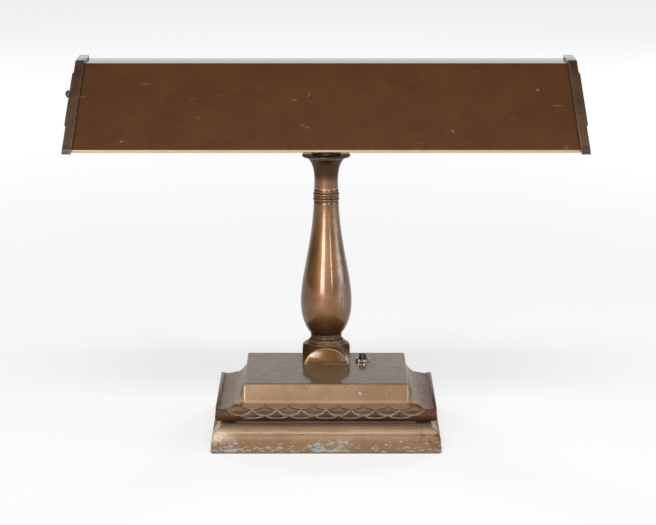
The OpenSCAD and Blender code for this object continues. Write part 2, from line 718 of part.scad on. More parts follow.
module cap_knob() color([0.42, 0.30, 0.20]) mirror([1, 0, 0]) {
    cap_shank();
    translate([cap_spot_x, 0, cap_screw_z]) rotate([0, 90, 0]) rotate_extrude()
        polygon(concat([[0, 0], [knob_r, 0]],
            [for (i = [0 : 5]) let (a = 90 * i / 5) [knob_r - 2 * (1 - cos(a)), knob_h - 1 + 2 * sin(a)]],
            [[0, knob_h + 1.3]]));
}

module cap_screw() color([0.42, 0.30, 0.20]) {
    cap_shank();
    translate([cap_spot_x, 0, cap_screw_z]) rod(knob_r - 0.5, 1.1);
}

// ---- Channel, plates and reflector ----

reflector_in = 3;
channel_high = shade_top - sheet_t;
holder_plate_t = 1.5;

// The reflector's flat middle lies under the channel and its sides follow the shade
reflector_low = hem_z + 5;
function reflector_y(inset, z) = let (corner = hem_z + hem_h - inset * tan((90 - slope) / 2))
    half_low - inset - (z - corner) / tan(slope);
function reflector_section(inset, low, high) =
    let (a = reflector_y(inset, low), b = reflector_y(inset, high))
    [[-a, low], [-b, high], [b, high], [a, low]];

module reflector() color([0.93, 0.93, 0.90]) difference() {
    along_x(2 * plate_x) polygon(reflector_section(reflector_in, reflector_low, reflector_z));
    along_x(2 * plate_x + 2)
        polygon(reflector_section(reflector_in + reflector_t, reflector_low - cut,
                                  reflector_z - reflector_t));
    at_bracket_screws()
        post(bracket_screw_r + pass_gap, reflector_z - reflector_t - cut, reflector_z + cut);
}

channel_screw_up = 10;
channel_screw_z = reflector_z + channel_screw_up;
channel_screw_y = 13;
plate_screw_r = 1.6;

module spine_channel() color([0.62, 0.62, 0.64]) difference() {
    span([-plate_x, -channel_d / 2, reflector_z], [plate_x, channel_d / 2, channel_high]);
    span([-plate_x + channel_t, -channel_d / 2 + channel_t, reflector_z + channel_t],
         [plate_x - channel_t, channel_d / 2 - channel_t, channel_high + cut]);
    at_bracket_screws() post(bracket_screw_r + fit_gap, reflector_z - cut, reflector_z + channel_t + cut);
    for (y = [-1, 1]) translate([-plate_x - cut, y * channel_screw_y, channel_screw_z])
        rod(plate_screw_r + fit_gap, 2 * (plate_x + cut));
}

// Each plate closes the trough's end and carries the lampholders and the end cap
plate_in_from_sheet = 2;
holder_screw_r = 1.5;
holder_screw_l = 8;
module holder_plate() difference() {
    translate([plate_x + holder_plate_t / 2, 0, 0])
        along_x(holder_plate_t) polygon(shade_section(plate_in_from_sheet, lamp_z - lamp_r - 1));
    translate([plate_x - cut, 0, cap_screw_z]) rod(cap_screw_r + fit_gap, holder_plate_t + 2 * cut);
    for (y = [-1, 1]) {
        translate([plate_x - cut, y * channel_screw_y, channel_screw_z])
            rod(plate_screw_r + pass_gap, holder_plate_t + 2 * cut);
        translate([plate_x - cut, y * holder_y, holder_screw_z])
            rod(holder_screw_r + pass_gap, holder_plate_t + 2 * cut);
    }
}
module holder_plate_right() color([0.62, 0.62, 0.64]) holder_plate();
module holder_plate_left() color([0.62, 0.62, 0.64]) mirror([1, 0, 0]) holder_plate();

// A pan-head screw along X from a plate's outer face inwards
module inward_screw(y, z, r, length) translate([plate_x + holder_plate_t, y, z]) rotate([0, 90, 0]) {
    cylinder(r = r + 1.4, h = 1.6);
    translate([0, 0, -length]) cylinder(r = r, h = length + 0.1);
}

module plate_screws() color([0.7, 0.7, 0.72]) for (m = [0, 1], y = [-1, 1])
    mirror([m, 0, 0]) inward_screw(y * channel_screw_y, channel_screw_z, plate_screw_r, 6);

module holder_screws() color([0.7, 0.7, 0.72]) for (m = [0, 1], y = [-1, 1])
    mirror([m, 0, 0]) inward_screw(y * holder_y, holder_screw_z, holder_screw_r, holder_screw_l);

// Leads lie on the channel's floor, clear of the bracket's screws
lead_y = bracket_screw_y + bracket_screw_r + lead_r + 0.3;
lead_pitch = 2 * lead_r + 0.3;
lead_end = 7;
module channel_leads() color([0.85, 0.82, 0.70]) for (y = [-1, 1], k = [0, 1])
    translate([lead_end - plate_x, y * (lead_y + k * lead_pitch), reflector_z + channel_t + lead_r + 0.02])
        rod(lead_r, 2 * (plate_x - lead_end), $fn = 24);

// ---- Lampholders, starters and tubes ----

lamp_z = hinge_z - lamp_drop;
holder_r = 11.5;
recess_r = 8.9;
recess_t = 9;
rotor_t = 3;
rotor_gap = 0.08;
holder_y = lamp_y - 5;
holder_screw_z = lamp_z + 15;
holder_top = lamp_z + 21;

module lampholder(side_y) color([0.92, 0.91, 0.88]) difference() {
    union() {
        translate([plate_x - holder_t, side_y * lamp_y, lamp_z]) rod(holder_r, holder_t);
        span([plate_x - holder_t, min(side_y * (holder_y - 6), side_y * (holder_y + 5)), lamp_z],
             [plate_x, max(side_y * (holder_y - 6), side_y * (holder_y + 5)), holder_top]);
    }
    translate([plate_x - holder_t - cut, side_y * lamp_y, lamp_z]) rod(recess_r, recess_t + cut);
    // Slot that the pins enter by
    span([plate_x - holder_t - cut, side_y * lamp_y - pin_r - 0.5, lamp_z - holder_r - cut],
         [plate_x - holder_t + recess_t, side_y * lamp_y + pin_r + 0.5, lamp_z]);
    translate([plate_x + holder_plate_t - holder_screw_l - 0.5, side_y * holder_y, holder_screw_z])
        rod(holder_screw_r + fit_gap, holder_screw_l + cut);
}

module lampholders(side_y) for (m = [0, 1]) mirror([m, 0, 0]) lampholder(side_y);
module lampholders_front() lampholders(-1);
module lampholders_rear() lampholders(1);

// Rotors, caps and pins turn with their tube; the pins lie side by side at rest, and a quarter turn
// brings them one above the other, into line with the holder's slot
module at_lamp_end(side_y) for (m = [0, 1]) mirror([m, 0, 0])
    translate([lamp_l / 2, side_y * lamp_y, lamp_z]) rotate([0, 90, 0]) children();

lamp_cap_l = 14;
pin_l = 7.1;

module rotors(side_y) color([0.95, 0.95, 0.93]) at_lamp_end(side_y)
    translate([0, 0, holder_gap + 0.4]) difference() {
        cylinder(r = recess_r - rotor_gap, h = rotor_t);
        for (s = [-1, 1]) translate([0, s * pin_circle_r, 0]) post(pin_r + fit_gap, -cut, rotor_t + cut);
    }

module tube_pins(side_y) color([0.78, 0.66, 0.40]) at_lamp_end(side_y)
    for (s = [-1, 1]) translate([0, s * pin_circle_r, 0]) cylinder(r = pin_r, h = pin_l);

module tube_caps(side_y) color([0.75, 0.76, 0.78]) at_lamp_end(side_y)
    translate([0, 0, -lamp_cap_l]) difference() {
        cylinder(r = lamp_r, h = lamp_cap_l);
        translate([0, 0, -cut]) cylinder(r = lamp_r - 0.5, h = lamp_cap_l - 1.5 + cut);
    }

module tube_glass(side_y) color([0.96, 0.96, 0.94])
    translate([0, side_y * lamp_y, lamp_z]) rotate([0, 90, 0]) difference() {
        union() {
            cylinder(r = lamp_r - 0.55, h = lamp_l - 3.2, center = true);
            cylinder(r = lamp_r, h = lamp_l - 2 * lamp_cap_l - 0.2, center = true);
        }
        cylinder(r = lamp_r - 1.6, h = lamp_l - 8, center = true);
    }

module tube_front() tube_glass(-1);
module tube_rear() tube_glass(1);
module tube_caps_front() tube_caps(-1);
module tube_caps_rear() tube_caps(1);
module tube_pins_front() tube_pins(-1);
module tube_pins_rear() tube_pins(1);
module rotors_front() rotors(-1);
module rotors_rear() rotors(1);

socket_r = 12.5;
socket_h = 8;
socket_low = reflector_z - reflector_t - socket_h;
socket_recess = 4;
starter_pin_in = 2.6;

module at_starter(side) translate([side * starter_x, 0, socket_low]) children();

module starter_sockets() color([0.92, 0.91, 0.88]) for (side = [-1, 1]) at_starter(side) difference() {
    cylinder(r = socket_r, h = socket_h);
    translate([0, 0, -cut]) cylinder(r = starter_r + rotor_gap, h = socket_recess + cut);
    cylinder(r = starter_r - 2, h = socket_recess + starter_pin_in + 0.4);
}

module starter(side) color([0.80, 0.81, 0.83]) at_starter(side) {
    translate([0, 0, socket_recess - 0.2 - starter_l]) cylinder(r = starter_r, h = starter_l);
    for (s = [-1, 1]) translate([s * 3.4, 0, socket_recess - 0.3]) {
        cylinder(r = 1.2, h = starter_pin_in);
        translate([0, 0, starter_pin_in - 0.9]) cylinder(r = 1.8, h = 0.9);
    }
}
module starter_left() starter(-1);
module starter_right() starter(1);

felt_pad();
base_casting();
bottom_cover();
cover_screws();
cord_bushing();
ballast_front();
ballast_rear();
ballast_screws();
switch_body();
switch_nut();
switch_button();
threaded_tube();
tube_washer();
tube_locknut();
column_leads();
pedestal_block();
column_collar();
column_vase();
column_capital();
stop_pin();
swivel_washer();
swivel_yoke();
swivel_top_washer();
swivel_locknut();
friction_washers();
hinge_bolt();
hinge_nut();
tilt_bracket();
bracket_screws();
spine_channel();
holder_plate_left();
holder_plate_right();
plate_screws();
channel_leads();
reflector();
shade_shell();
end_cap_left();
end_cap_right();
cap_knob();
cap_screw();
lampholders_front();
lampholders_rear();
holder_screws();
starter_sockets();
starter_left();
starter_right();
tube_front();
tube_caps_front();
tube_pins_front();
rotors_front();
tube_rear();
tube_caps_rear();
tube_pins_rear();
rotors_rear();
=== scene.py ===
"""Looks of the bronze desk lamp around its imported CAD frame.

Sizes are in millimetres until mesh() turns them to metres.
"""
from math import acos, asin, atan2, copysign, cos, degrees, exp, pi, radians, sin, sqrt, tan

import bmesh
import bpy
from mathutils import Matrix, Vector, noise


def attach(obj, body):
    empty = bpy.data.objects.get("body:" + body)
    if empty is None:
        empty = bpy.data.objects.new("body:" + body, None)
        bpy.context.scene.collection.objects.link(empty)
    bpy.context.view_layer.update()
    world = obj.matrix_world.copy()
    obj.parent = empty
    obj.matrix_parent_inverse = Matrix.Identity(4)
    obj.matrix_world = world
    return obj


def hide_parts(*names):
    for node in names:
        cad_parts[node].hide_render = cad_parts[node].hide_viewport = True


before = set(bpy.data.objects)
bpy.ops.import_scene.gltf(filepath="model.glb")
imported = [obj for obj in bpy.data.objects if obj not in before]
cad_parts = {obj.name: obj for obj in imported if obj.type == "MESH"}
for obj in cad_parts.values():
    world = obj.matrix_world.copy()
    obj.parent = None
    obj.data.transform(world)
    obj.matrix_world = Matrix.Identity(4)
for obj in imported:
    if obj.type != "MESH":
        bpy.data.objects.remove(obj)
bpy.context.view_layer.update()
MM = 0.001


def new_object(name, data):
    obj = bpy.data.objects.new(name, data)
    bpy.context.scene.collection.objects.link(obj)
    return obj


# -------- camera
camera_data = bpy.data.cameras.new("camera")
camera_data.sensor_width = 36.0
camera_data.lens = 139.0
camera = new_object("camera", camera_data)
camera.location = (1.8 * MM, -2493 * MM, 665.5 * MM)
camera.rotation_euler = (radians(90 - 11.4), 0.0, 0.0)
bpy.context.scene.camera = camera
bpy.context.scene.view_settings.view_transform = "Standard"

# -------- sizes, as in the part's source
FELT = 1.5
BASE_W, BASE_D, BASE_H, AXIS_FRONT = 224.0, 181.0, 62.0, 129.0
SIDE_X, FRONT_Y, BACK_Y = BASE_W / 2, -AXIS_FRONT, BASE_D - AXIS_FRONT
EDGE_H, EDGE_LEAN, OVOLO_RUN, OVOLO_RISE = 11.4, 1.0, 12.0, 12.0
OVOLO_TOP = EDGE_H + OVOLO_RISE
NECK_IN = EDGE_LEAN + OVOLO_RUN + 11.3
BAND_LOW = OVOLO_TOP + 2.1
BAND_H, BAND_BULGE = 15.4, 9.0
BAND_TOP = BAND_LOW + BAND_H
OVOLO_HEAD, BAND_FOOT, BAND_HEAD = FELT + OVOLO_TOP, FELT + BAND_LOW, FELT + BAND_TOP
RISER_IN = NECK_IN - 1.3
PLATE_IN = RISER_IN + 1.7
CHEEK = 1.2
LIP_IN, LIP_W, LIP_H = 4.6, 3.4, 1.8
COVE_R = 22.2
COVE_FLOOR = BAND_TOP - 2.1
COVE_FOOT = FELT + COVE_FLOOR
COVE_IN = LIP_IN + LIP_W + 3
COVE_UP = COVE_FLOOR + COVE_R
PLATE_SIDE_IN = COVE_IN + COVE_R - 0.5
PLATE_SIDE_X = SIDE_X - PLATE_SIDE_IN
RISER_HALF = PLATE_SIDE_X + 0.6
SLAB_R = 4.5
WALL = 4.5
PLATE_Z = FELT + BASE_H
SWITCH_X, SWITCH_Y = 36.6, -11.5
BLOCK_W, BLOCK_H, BLOCK_TURN = 47.5, 21.6, 25.4
COLLAR_H, COLLAR_R = 5.4, 15.5
VASE_H, VASE_R, NECK_R, RINGS_H = 148.4, 25.7, 12.45, 13.0
CAPITAL_H, CAPITAL_R, CAPITAL_T = 34.6, 24.2, 2.8
BLOCK_TOP = PLATE_Z + BLOCK_H
COLLAR_TOP = BLOCK_TOP + COLLAR_H
COLUMN_TOP = COLLAR_TOP + VASE_H + CAPITAL_H
BORE_R = 5.3
HINGE_Z = COLUMN_TOP + 55.5
SHADE_L, SHADE_D, SHADE_TOP_D, SHADE_H = 508.0, 177.0, 44.0, 78.0
HEM_Z = HINGE_Z - 40.7
HEM_H = 2.4
SHADE_TOP = HEM_Z + SHADE_H
SHEET = 0.9
HALF_TOP, HALF_LOW = SHADE_TOP_D / 2, SHADE_D / 2
SLOPE = atan2(SHADE_H - HEM_H, HALF_LOW - HALF_TOP)
CAP_PROUD, CAP_RIM, CAP_WEB, CAP_LEAN = 3.4, 8.5, 3.0, 8.1
CAP_LOW = HEM_Z - 1.5
PANEL_T, PANEL_MARGIN = 2.7, 9.0
KNOB_R, KNOB_H = 4.0, 6.5
CAP_SCREW_Z = HINGE_Z + 4
HOLDER_X, HOLDER_T, HINGE_NUT_X = 230.3, 1.5, 18.0
SWITCH_HOLE_R, SWITCH_NUT_R, SWITCH_NUT_H, BUTTON_UP = 5.4, 7.0, 3.4, 5.3
CORD_Z, CORD_R, CORD_SEAT_R, CORD_SEAT_H = 8.5, 5.05, 6.7, 4.4


# -------- mesh helpers
def mesh(name, verts, faces, smooth=40.0, values=None):
    """A new object from points in millimetres, smooth except at edges sharper than an angle."""
    data = bpy.data.meshes.new(name)
    data.from_pydata([(x * MM, y * MM, z * MM) for x, y, z in verts], [], faces)
    for key, numbers in (values or {}).items():
        data.attributes.new(key, "FLOAT", "POINT").data.foreach_set("value", numbers)
    data.validate()
    return tidy(new_object(name, data), smooth)


def tidy(obj, smooth=40.0):
    """Outward normals, and smooth shading with sharp edges kept."""
    work = bmesh.new()
    work.from_mesh(obj.data)
    bmesh.ops.remove_doubles(work, verts=work.verts, dist=1e-6)
    bmesh.ops.recalc_face_normals(work, faces=work.faces)
    work.to_mesh(obj.data)
    work.free()
    for polygon in obj.data.polygons:
        polygon.use_smooth = True
    obj.data.set_sharp_from_angle(angle=radians(smooth))
    return obj


def modified(obj, kind, **fields):
    """Runs one modifier on the object's mesh and keeps its result."""
    modifier = obj.modifiers.new(kind, kind)
    for key, value in fields.items():
        setattr(modifier, key, value)
    bpy.context.view_layer.update()
    graph = bpy.context.evaluated_depsgraph_get()
    data = bpy.data.meshes.new_from_object(obj.evaluated_get(graph))
    obj.modifiers.clear()
    obj.data = data


def boolean(obj, other, operation):
    modified(obj, "BOOLEAN", operation=operation, solver="EXACT", object=other)
    bpy.data.objects.remove(other)
    return obj


def bevelled(obj, width, segments=2, angle=32.0, smooth=40.0):
    modified(obj, "BEVEL", width=width * MM, segments=segments, limit_method="ANGLE",
             angle_limit=radians(angle), use_clamp_overlap=True, miter_outer="MITER_ARC")
    return tidy(obj, smooth)


def ring_faces(low, high, count):
    """The faces between two rings of count points, which start at low and at high."""
    return [(low + k, low + (k + 1) % count, high + (k + 1) % count, high + k) for k in range(count)]


def tube_faces(count, rings=2):
    """The ends and the sides of a tube through rings of count points each."""
    faces = [tuple(range(count)), tuple(range((rings - 1) * count, rings * count))]
    for low in range(0, (rings - 1) * count, count):
        faces += ring_faces(low, low + count, count)
    return faces


def prism(name, section, axis, low, high):
    """A section of (u, z) points drawn out along X (u is Y) or along Y (u is X)."""
    verts = [(t, u, z) if axis == "X" else (u, t, z) for t in (low, high) for u, z in section]
    return mesh(name, verts, tube_faces(len(section)))


def box(name, low, high):
    section = [(low[1], low[2]), (high[1], low[2]), (high[1], high[2]), (low[1], high[2])]
    return prism(name, section, "X", low[0], high[0])


def turned(verts, axis, at):
    """Points round Z turned to lie round another axis, and moved."""
    turn, about = {"Z": (0, "Z"), "X": (90, "Y"), "-X": (-90, "Y"), "Y": (-90, "X")}[axis]
    turn = Matrix.Rotation(radians(turn), 3, about)
    return [tuple(turn @ Vector(v) + Vector(at)) for v in verts]


def lathe(name, profile, steps=128, at=(0, 0, 0), axis="Z", closed=False):
    """A turned piece from (radius, height) points, with a pole at radius 0. A closed profile makes a ring."""
    verts, faces, rings = [], [], []
    for radius, height in profile:
        count = 1 if radius < 1e-6 else steps
        rings.append((len(verts), count))
        angles = [2 * pi * k / steps for k in range(count)]
        verts += [(radius * cos(a), radius * sin(a), height) for a in angles]
    for (low, lows), (high, highs) in zip(rings, rings[1:] + (rings[:1] if closed else [])):
        if lows > 1 and highs > 1:
            faces += ring_faces(low, high, steps)
        elif highs > 1:
            faces += [(low, high + (k + 1) % steps, high + k) for k in range(steps)]
        elif lows > 1:
            faces += [(low + k, low + (k + 1) % steps, high) for k in range(steps)]
    return mesh(name, turned(verts, axis, at), faces)


def arc(cx, cy, rx, ry, start, end, count):
    """Points of an elliptic arc, angles in degrees, both ends included."""
    angles = [radians(start + (end - start) * i / count) for i in range(count + 1)]
    return [(cx + rx * cos(a), cy + ry * sin(a)) for a in angles]


def cubic(a, b, c, d, t):
    return a * (1 - t) ** 3 + 3 * b * t * (1 - t) ** 2 + 3 * c * t * t * (1 - t) + d * t ** 3


def give(obj, material):
    obj.data.materials.clear()
    obj.data.materials.append(material)


def placed(obj, body, slot, material, *nodes):
    """Gives the piece its material and its body, and hides the CAD nodes that it stands for; the slot is not
    used.
    """
    give(obj, material)
    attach(obj, body)
    if nodes:
        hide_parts(*nodes)
    return obj


# -------- materials
class Field:
    """A node's output, with arithmetic that adds the nodes for it. | is the larger of two values."""

    def __init__(self, tree, socket):
        self.tree, self.socket = tree, socket

    def __mul__(self, other):
        return self.tree.math("MULTIPLY", self, other)

    def __add__(self, other):
        return self.tree.math("ADD", self, other)

    def __sub__(self, other):
        return self.tree.math("SUBTRACT", self, other)

    def __rsub__(self, other):
        return self.tree.math("SUBTRACT", other, self)

    def __or__(self, other):
        return self.tree.math("MAXIMUM", self, other)

    def __abs__(self):
        return self.tree.math("ABSOLUTE", self)

    __rmul__ = __mul__


class Tree:
    """A short way to build a tree of shader nodes."""

    def __init__(self, tree):
        self.tree = tree

    def node(self, kind, inputs=(), **fields):
        node = self.tree.nodes.new("ShaderNode" + kind)
        for key, value in fields.items():
            setattr(node, key, value)
        for key, value in dict(inputs).items():
            self.put(node.inputs[key], value)
        return node

    def put(self, socket, value):
        if isinstance(value, Field):
            self.tree.links.new(value.socket, socket)
        else:
            socket.default_value = value

    def get(self, output, kind, inputs=(), **fields):
        """The named output of a new node."""
        return Field(self, self.node(kind, inputs, **fields).outputs[output])

    def split(self, vector):
        outputs = self.node("SeparateXYZ", {"Vector": vector}).outputs
        return [Field(self, outputs[axis]) for axis in "XYZ"]

    def math(self, operation, a, b=0.0):
        return self.get("Value", "Math", {0: a, 1: b}, operation=operation)

    def ramp(self, value, low, high, out_low=0.0, out_high=1.0):
        """A smooth step from out_low to out_high while the value goes from low to high."""
        inputs = {"Value": value, "From Min": low, "From Max": high, "To Min": out_low, "To Max": out_high}
        return self.get("Result", "MapRange", inputs, interpolation_type="SMOOTHSTEP")

    def mix(self, factor, a, b, kind="RGBA"):
        return self.get("Result", "Mix", {"Factor": factor, "A": a, "B": b}, data_type=kind)

    def rays(self, *kinds):
        """1 for rays of these kinds."""
        outputs = self.node("LightPath").outputs
        total, *others = [Field(self, outputs["Is " + kind + " Ray"]) for kind in kinds]
        for other in others:
            total = total | other
        return total


class Material(Tree):
    """A material's node tree around one shader."""

    def __init__(self, name):
        self.material = bpy.data.materials.new(name)
        self.material.use_nodes = True
        super().__init__(self.material.node_tree)
        self.shader = self.tree.nodes["Principled BSDF"]
        self.place = self.get("Object", "TexCoord")

    def measure(self):
        """Makes x, y and z, the place in millimetres."""
        self.x, self.y, self.z = (axis * (1 / MM) for axis in self.split(self.place))

    def scaled(self, factors, turn=(0.0, 0.0, 0.0)):
        inputs = {"Vector": self.place, "Rotation": turn, "Scale": factors}
        return self.get("Vector", "Mapping", inputs)

    def noise(self, size_mm, detail=4.0, rough=0.5, place=None, distort=0.0):
        inputs = {"Vector": place or self.place, "Scale": 1 / (size_mm * MM), "Detail": detail,
                  "Roughness": rough, "Distortion": distort}
        return self.get("Fac", "TexNoise", inputs)

    def cells(self, size_mm, feature="F1", place=None):
        inputs = {"Vector": place or self.place, "Scale": 1 / (size_mm * MM)}
        return self.get("Distance", "TexVoronoi", inputs, feature=feature)

    def facing(self, axis):
        """How far the surface faces along an axis, to either side."""
        return abs(self.split(self.get("Normal", "NewGeometry"))["XYZ".index(axis)])

    def between(self, value, low, high, soft):
        """1 between two values, with soft ends."""
        return self.ramp(value, low - soft, low) * self.ramp(value, high + soft, high)

    def crevice(self, reach_mm):
        """0 in a corner or groove, 1 in the open."""
        return self.get("AO", "AmbientOcclusion", {"Distance": reach_mm * MM}, samples=8)

    def edges(self, radius_mm, low=0.985, high=0.92):
        """Near 1 along sharp edges, 0 on open faces."""
        bent = self.get("Normal", "Bevel", {"Radius": radius_mm * MM}, samples=6)
        true = self.get("Normal", "NewGeometry")
        agree = self.get("Value", "VectorMath", {0: bent, 1: true}, operation="DOT_PRODUCT")
        return self.ramp(agree, low, high)

    def attribute(self, name):
        return self.get("Fac", "Attribute", attribute_type="GEOMETRY", attribute_name=name)

    def paint(self, where, color):
        """Lays a colour over the tone so far."""
        self.tone = self.mix(where, self.tone, color)

    def finish(self, rough, metallic=0.0, bump=None, bump_mm=0.1, coat=0.0, coat_rough=0.25, more=()):
        """Sets the shader's inputs. A socket that gets a number or a colour has it all over."""
        sockets = {"Base Color": self.tone, "Roughness": rough, "Metallic": metallic, **dict(more)}
        if coat:
            sockets["Coat Weight"], sockets["Coat Roughness"] = coat, coat_rough
            sockets["Coat Tint"] = (1.0, 0.97, 0.92, 1.0)
        if bump:
            height = {"Height": bump, "Distance": bump_mm * MM, "Strength": 1.0}
            sockets["Normal"] = self.get("Normal", "Bump", height)
        for name, value in sockets.items():
            self.put(self.shader.inputs[name], value)
        return self.material


def rgb(r, g, b):
    """A colour as a screen shows it, 0 to 255, turned to the linear values that a shader takes."""
    def linear(c):
        c /= 255.0
        return c / 12.92 if c <= 0.04045 else ((c + 0.055) / 1.055) ** 2.4
    return (linear(r), linear(g), linear(b), 1.0)


def shade_of(color, factor):
    """A colour made darker or lighter by a factor, held at white."""
    return tuple(min(1.0, factor * c) for c in color[:3]) + (1.0,)


def lacquer(name, light, dark, rough, metallic, coat, coat_rough, specks, scratches=0.0, wear_and_highlight=0.0, dirt_and_shade=0.7,
            reach_mm=4.0, grain_mm=0.04, beside_mm=3.4, part="", hem=None, scars=(), more=()):
    """Bronze lacquer: cloudy tone, pits, dirt and painted shade in corners, edges rubbed bright and painted
    as highlights, scratches and a clear coat.

    The part (base, column or caps) adds its own stains and wear, painted shade and painted highlights, and on
    the column a painted reflection.
    """
    n = Material(name)
    n.measure()
    n.tone = n.mix(n.ramp(n.noise(34.0, 5.0, 0.6), 0.32, 0.68), dark, light)
    n.paint(n.ramp(n.noise(1.3, 3.0, 0.6), 0.4, 0.72, 0.0, 0.3), shade_of(light, 0.4))
    n.paint(n.ramp(n.noise(2.1, 2.0, 0.5), 0.56, 0.74, 0.0, 0.16), shade_of(light, 1.6))
    if hem:
        # The upright hem is painted bright copper, partly rubbed wear and partly a painted highlight where
        # its upright face catches the light, over a dark lower edge
        n.paint(n.ramp(n.z, HEM_Z + 2.6, HEM_Z + 1.9), hem)
        n.paint(n.ramp(n.z, HEM_Z + 0.6, HEM_Z + 0.2), shade_of(dark, 0.3))
    # Small dark pits, a few millimetres apart, only where a slower noise lets them be
    pit = n.ramp(n.cells(5.5), 0.17, 0.10) * n.ramp(n.noise(17.0, 2.0), 0.5, 0.6)
    n.paint(pit * specks, rgb(50, 34, 24))
    if part == "base":
        base_upward_reflection(n)
        n.paint(n.ramp(n.z, 18, 9, 0.0, 0.4), rgb(96, 66, 40))
    # Each part's dark places: painted shade on the column's flare and foot and under the base's band, and
    # plain darkening at the caps' lower ends, the band's ends and the coves
    if part:
        shade_and_stain_of, shade_and_stain_color = {"base": (base_stain_and_shade, rgb(78, 46, 20)), "column": (column_shade, rgb(64, 41, 26)),
                         "caps": (cap_low_dark, rgb(64, 41, 26))}[part]
        shade_and_stain = shade_and_stain_of(n)
        n.paint(shade_and_stain, shade_and_stain_color)
    if part == "column":
        # The block's flat fronts are dulled and painted darker as shade, and a painted reflection of a pale
        # light lies down the column's right
        flat, side_reflection = column_flat(n), column_side_reflection(n)
        n.paint(flat * 0.9, rgb(104, 68, 32))
        n.paint(side_reflection, rgb(172, 162, 156))
    # Dirt, and painted shade, in corners and grooves
    open_air = n.crevice(reach_mm)
    corner = n.ramp(open_air, 0.85, 0.4) * dirt_and_shade
    if part == "base":
        corner = corner | base_dark(n)
    n.paint(corner, rgb(38, 25, 18))
    if part == "base":
        base_marks(n, open_air)
    roughness = n.ramp(n.noise(11.0, 4.0, 0.6), 0.3, 0.7, rough - 0.06, rough + 0.08) + corner * 0.2
    metal = metallic
    if wear_and_highlight:
        # Edges painted bright, partly as rubbed wear and partly as a painted highlight where they catch the
        # light, with a dark line beside them
        edge = n.edges(1.4)
        beside = (n.edges(beside_mm) - edge) * n.ramp(n.noise(9.0, 3.0), 0.3, 0.55, 0.3, 1.0)
        if part == "column":
            beside = beside * n.ramp(n.z, COLUMN_TOP - 5, COLUMN_TOP - 7)
        n.paint(n.ramp(beside, 0.12, 0.55) * (0.85 * wear_and_highlight), rgb(50, 33, 24))
        rub_and_highlight = edge * n.ramp(n.noise(6.0, 4.0, 0.7), 0.36, 0.6, 0.3, 1.0) * n.ramp(open_air, 0.45, 0.8) * wear_and_highlight
        rub_and_highlight = rub_and_highlight | {"base": base_wear_and_highlights, "column": column_highlights, "caps": panel_rubbed}[part](n)
        n.paint(rub_and_highlight, rgb(226, 200, 170))
        metal = metal * (1 - rub_and_highlight * 0.7)
    if part == "column":
        metal = metal * (1 - (side_reflection * 0.8 | flat * 0.7))
        coat = coat * (1 - (flat | n.between(n.z, BLOCK_TOP - 3, COLLAR_TOP + 1, 2)) * 0.8)
    if part:
        coat = coat * (1 - shade_and_stain * 0.85)
        metal = metal * (1 - shade_and_stain * 0.5)
    if part == "base":
        lost, ends = base_flakes(n), base_ends(n)
        metal = metal * (1 - lost)
        coat = coat * (1 - ends * 0.9)
        roughness = roughness + lost * 0.25 + ends * 0.3
    if scratches:
        marks = [n.ramp(n.cells(size, "DISTANCE_TO_EDGE", n.scaled((0.12, 1.0, 1.0), turn)), 0.008, 0.002)
                 for turn, size in (((0.2, 0.5, 0.9), 13.0), ((1.1, 0.1, 2.2), 17.0))]
        mark = (marks[0] | marks[1]) * n.ramp(n.noise(14.0, 3.0), 0.6, 0.7)
        n.paint(mark * scratches, rgb(178, 150, 128))
    for scar in scars:
        scraped = spot(n, *scar) * n.ramp(n.noise(1.5, 2.0), 0.35, 0.55, 0.1, 0.6)
        n.paint(scraped, rgb(176, 150, 128))
    relief = n.noise(0.9, 3.0, 0.6) * 0.5 + n.noise(4.0, 3.0) - pit * 2.0
    if hem:
        # Only the flat top keeps its full gloss
        coat = n.ramp(n.facing("Z"), 0.8, 0.95, coat, 1.0)
    return n.finish(roughness, metal, relief, grain_mm, coat, coat_rough, more)


def spot(n, x, z, half_x, half_z, turn=0.0):
    """1 at a spot seen from the front, 0 outside its ellipse."""
    u, w = n.x - x, n.z - z
    c, s = cos(radians(turn)), sin(radians(turn))
    offset = n.get("Vector", "CombineXYZ", {"X": (u * c + w * s) * (1 / half_x),
                                            "Y": (w * c - u * s) * (1 / half_z)})
    far = n.get("Value", "VectorMath", {0: offset}, operation="LENGTH")
    return n.ramp(far, 1.0, 0.3) * n.ramp(n.y, -18, -22)


def off_floor(n):
    """0 on the floors of the end coves, 1 on steeper faces."""
    return n.ramp(n.facing("Z"), 0.93, 0.8)


def base_marks(n, open_air):
    """The base's red undercoat at its right end, dark lines, and the bright corner at its left end, worn and
    painted as a highlight.
    """
    ends = n.between(n.z, BAND_FOOT, BAND_HEAD, 0.2) * n.ramp(abs(n.x), 96.6, 97.0, 0.0, 0.55) * off_floor(n)
    # Dirt and painted shade below the scales' edges, and the darker ends of the band
    n.paint(n.attribute("grime") | ends, rgb(72, 44, 22))
    mitre = n.ramp(abs(SIDE_X - abs(n.x) - (n.y - FRONT_Y)), 2.6, 1.2)
    mitre = mitre * n.between(n.z, FELT + EDGE_H + 2, BAND_FOOT, 3)
    band = n.between(n.z, BAND_FOOT, BAND_HEAD, 1) * n.ramp(n.x, 78, 112, -0.02, 0.2)
    red = n.noise(9.0, 5.0, 0.7) + n.ramp(open_air, 0.95, 0.55) * 0.14 + band + mitre * 0.22
    n.paint(n.ramp(red, 0.5, 0.6) * n.ramp(n.x, 60, 112) * 0.9, rgb(96, 44, 34))
    n.paint(mitre * n.ramp(n.x, -80, -90) * 0.85, rgb(48, 32, 25))
    # The left front corner painted pale, partly wear and partly a painted highlight
    corner = n.ramp(n.x, -80, -106) * n.between(n.z, 13, 22, 4) * n.ramp(n.y, -98, -116)
    n.paint(corner * n.ramp(n.noise(13.0, 4.0, 0.6), 0.35, 0.6, 0.25, 0.8), rgb(228, 210, 184))


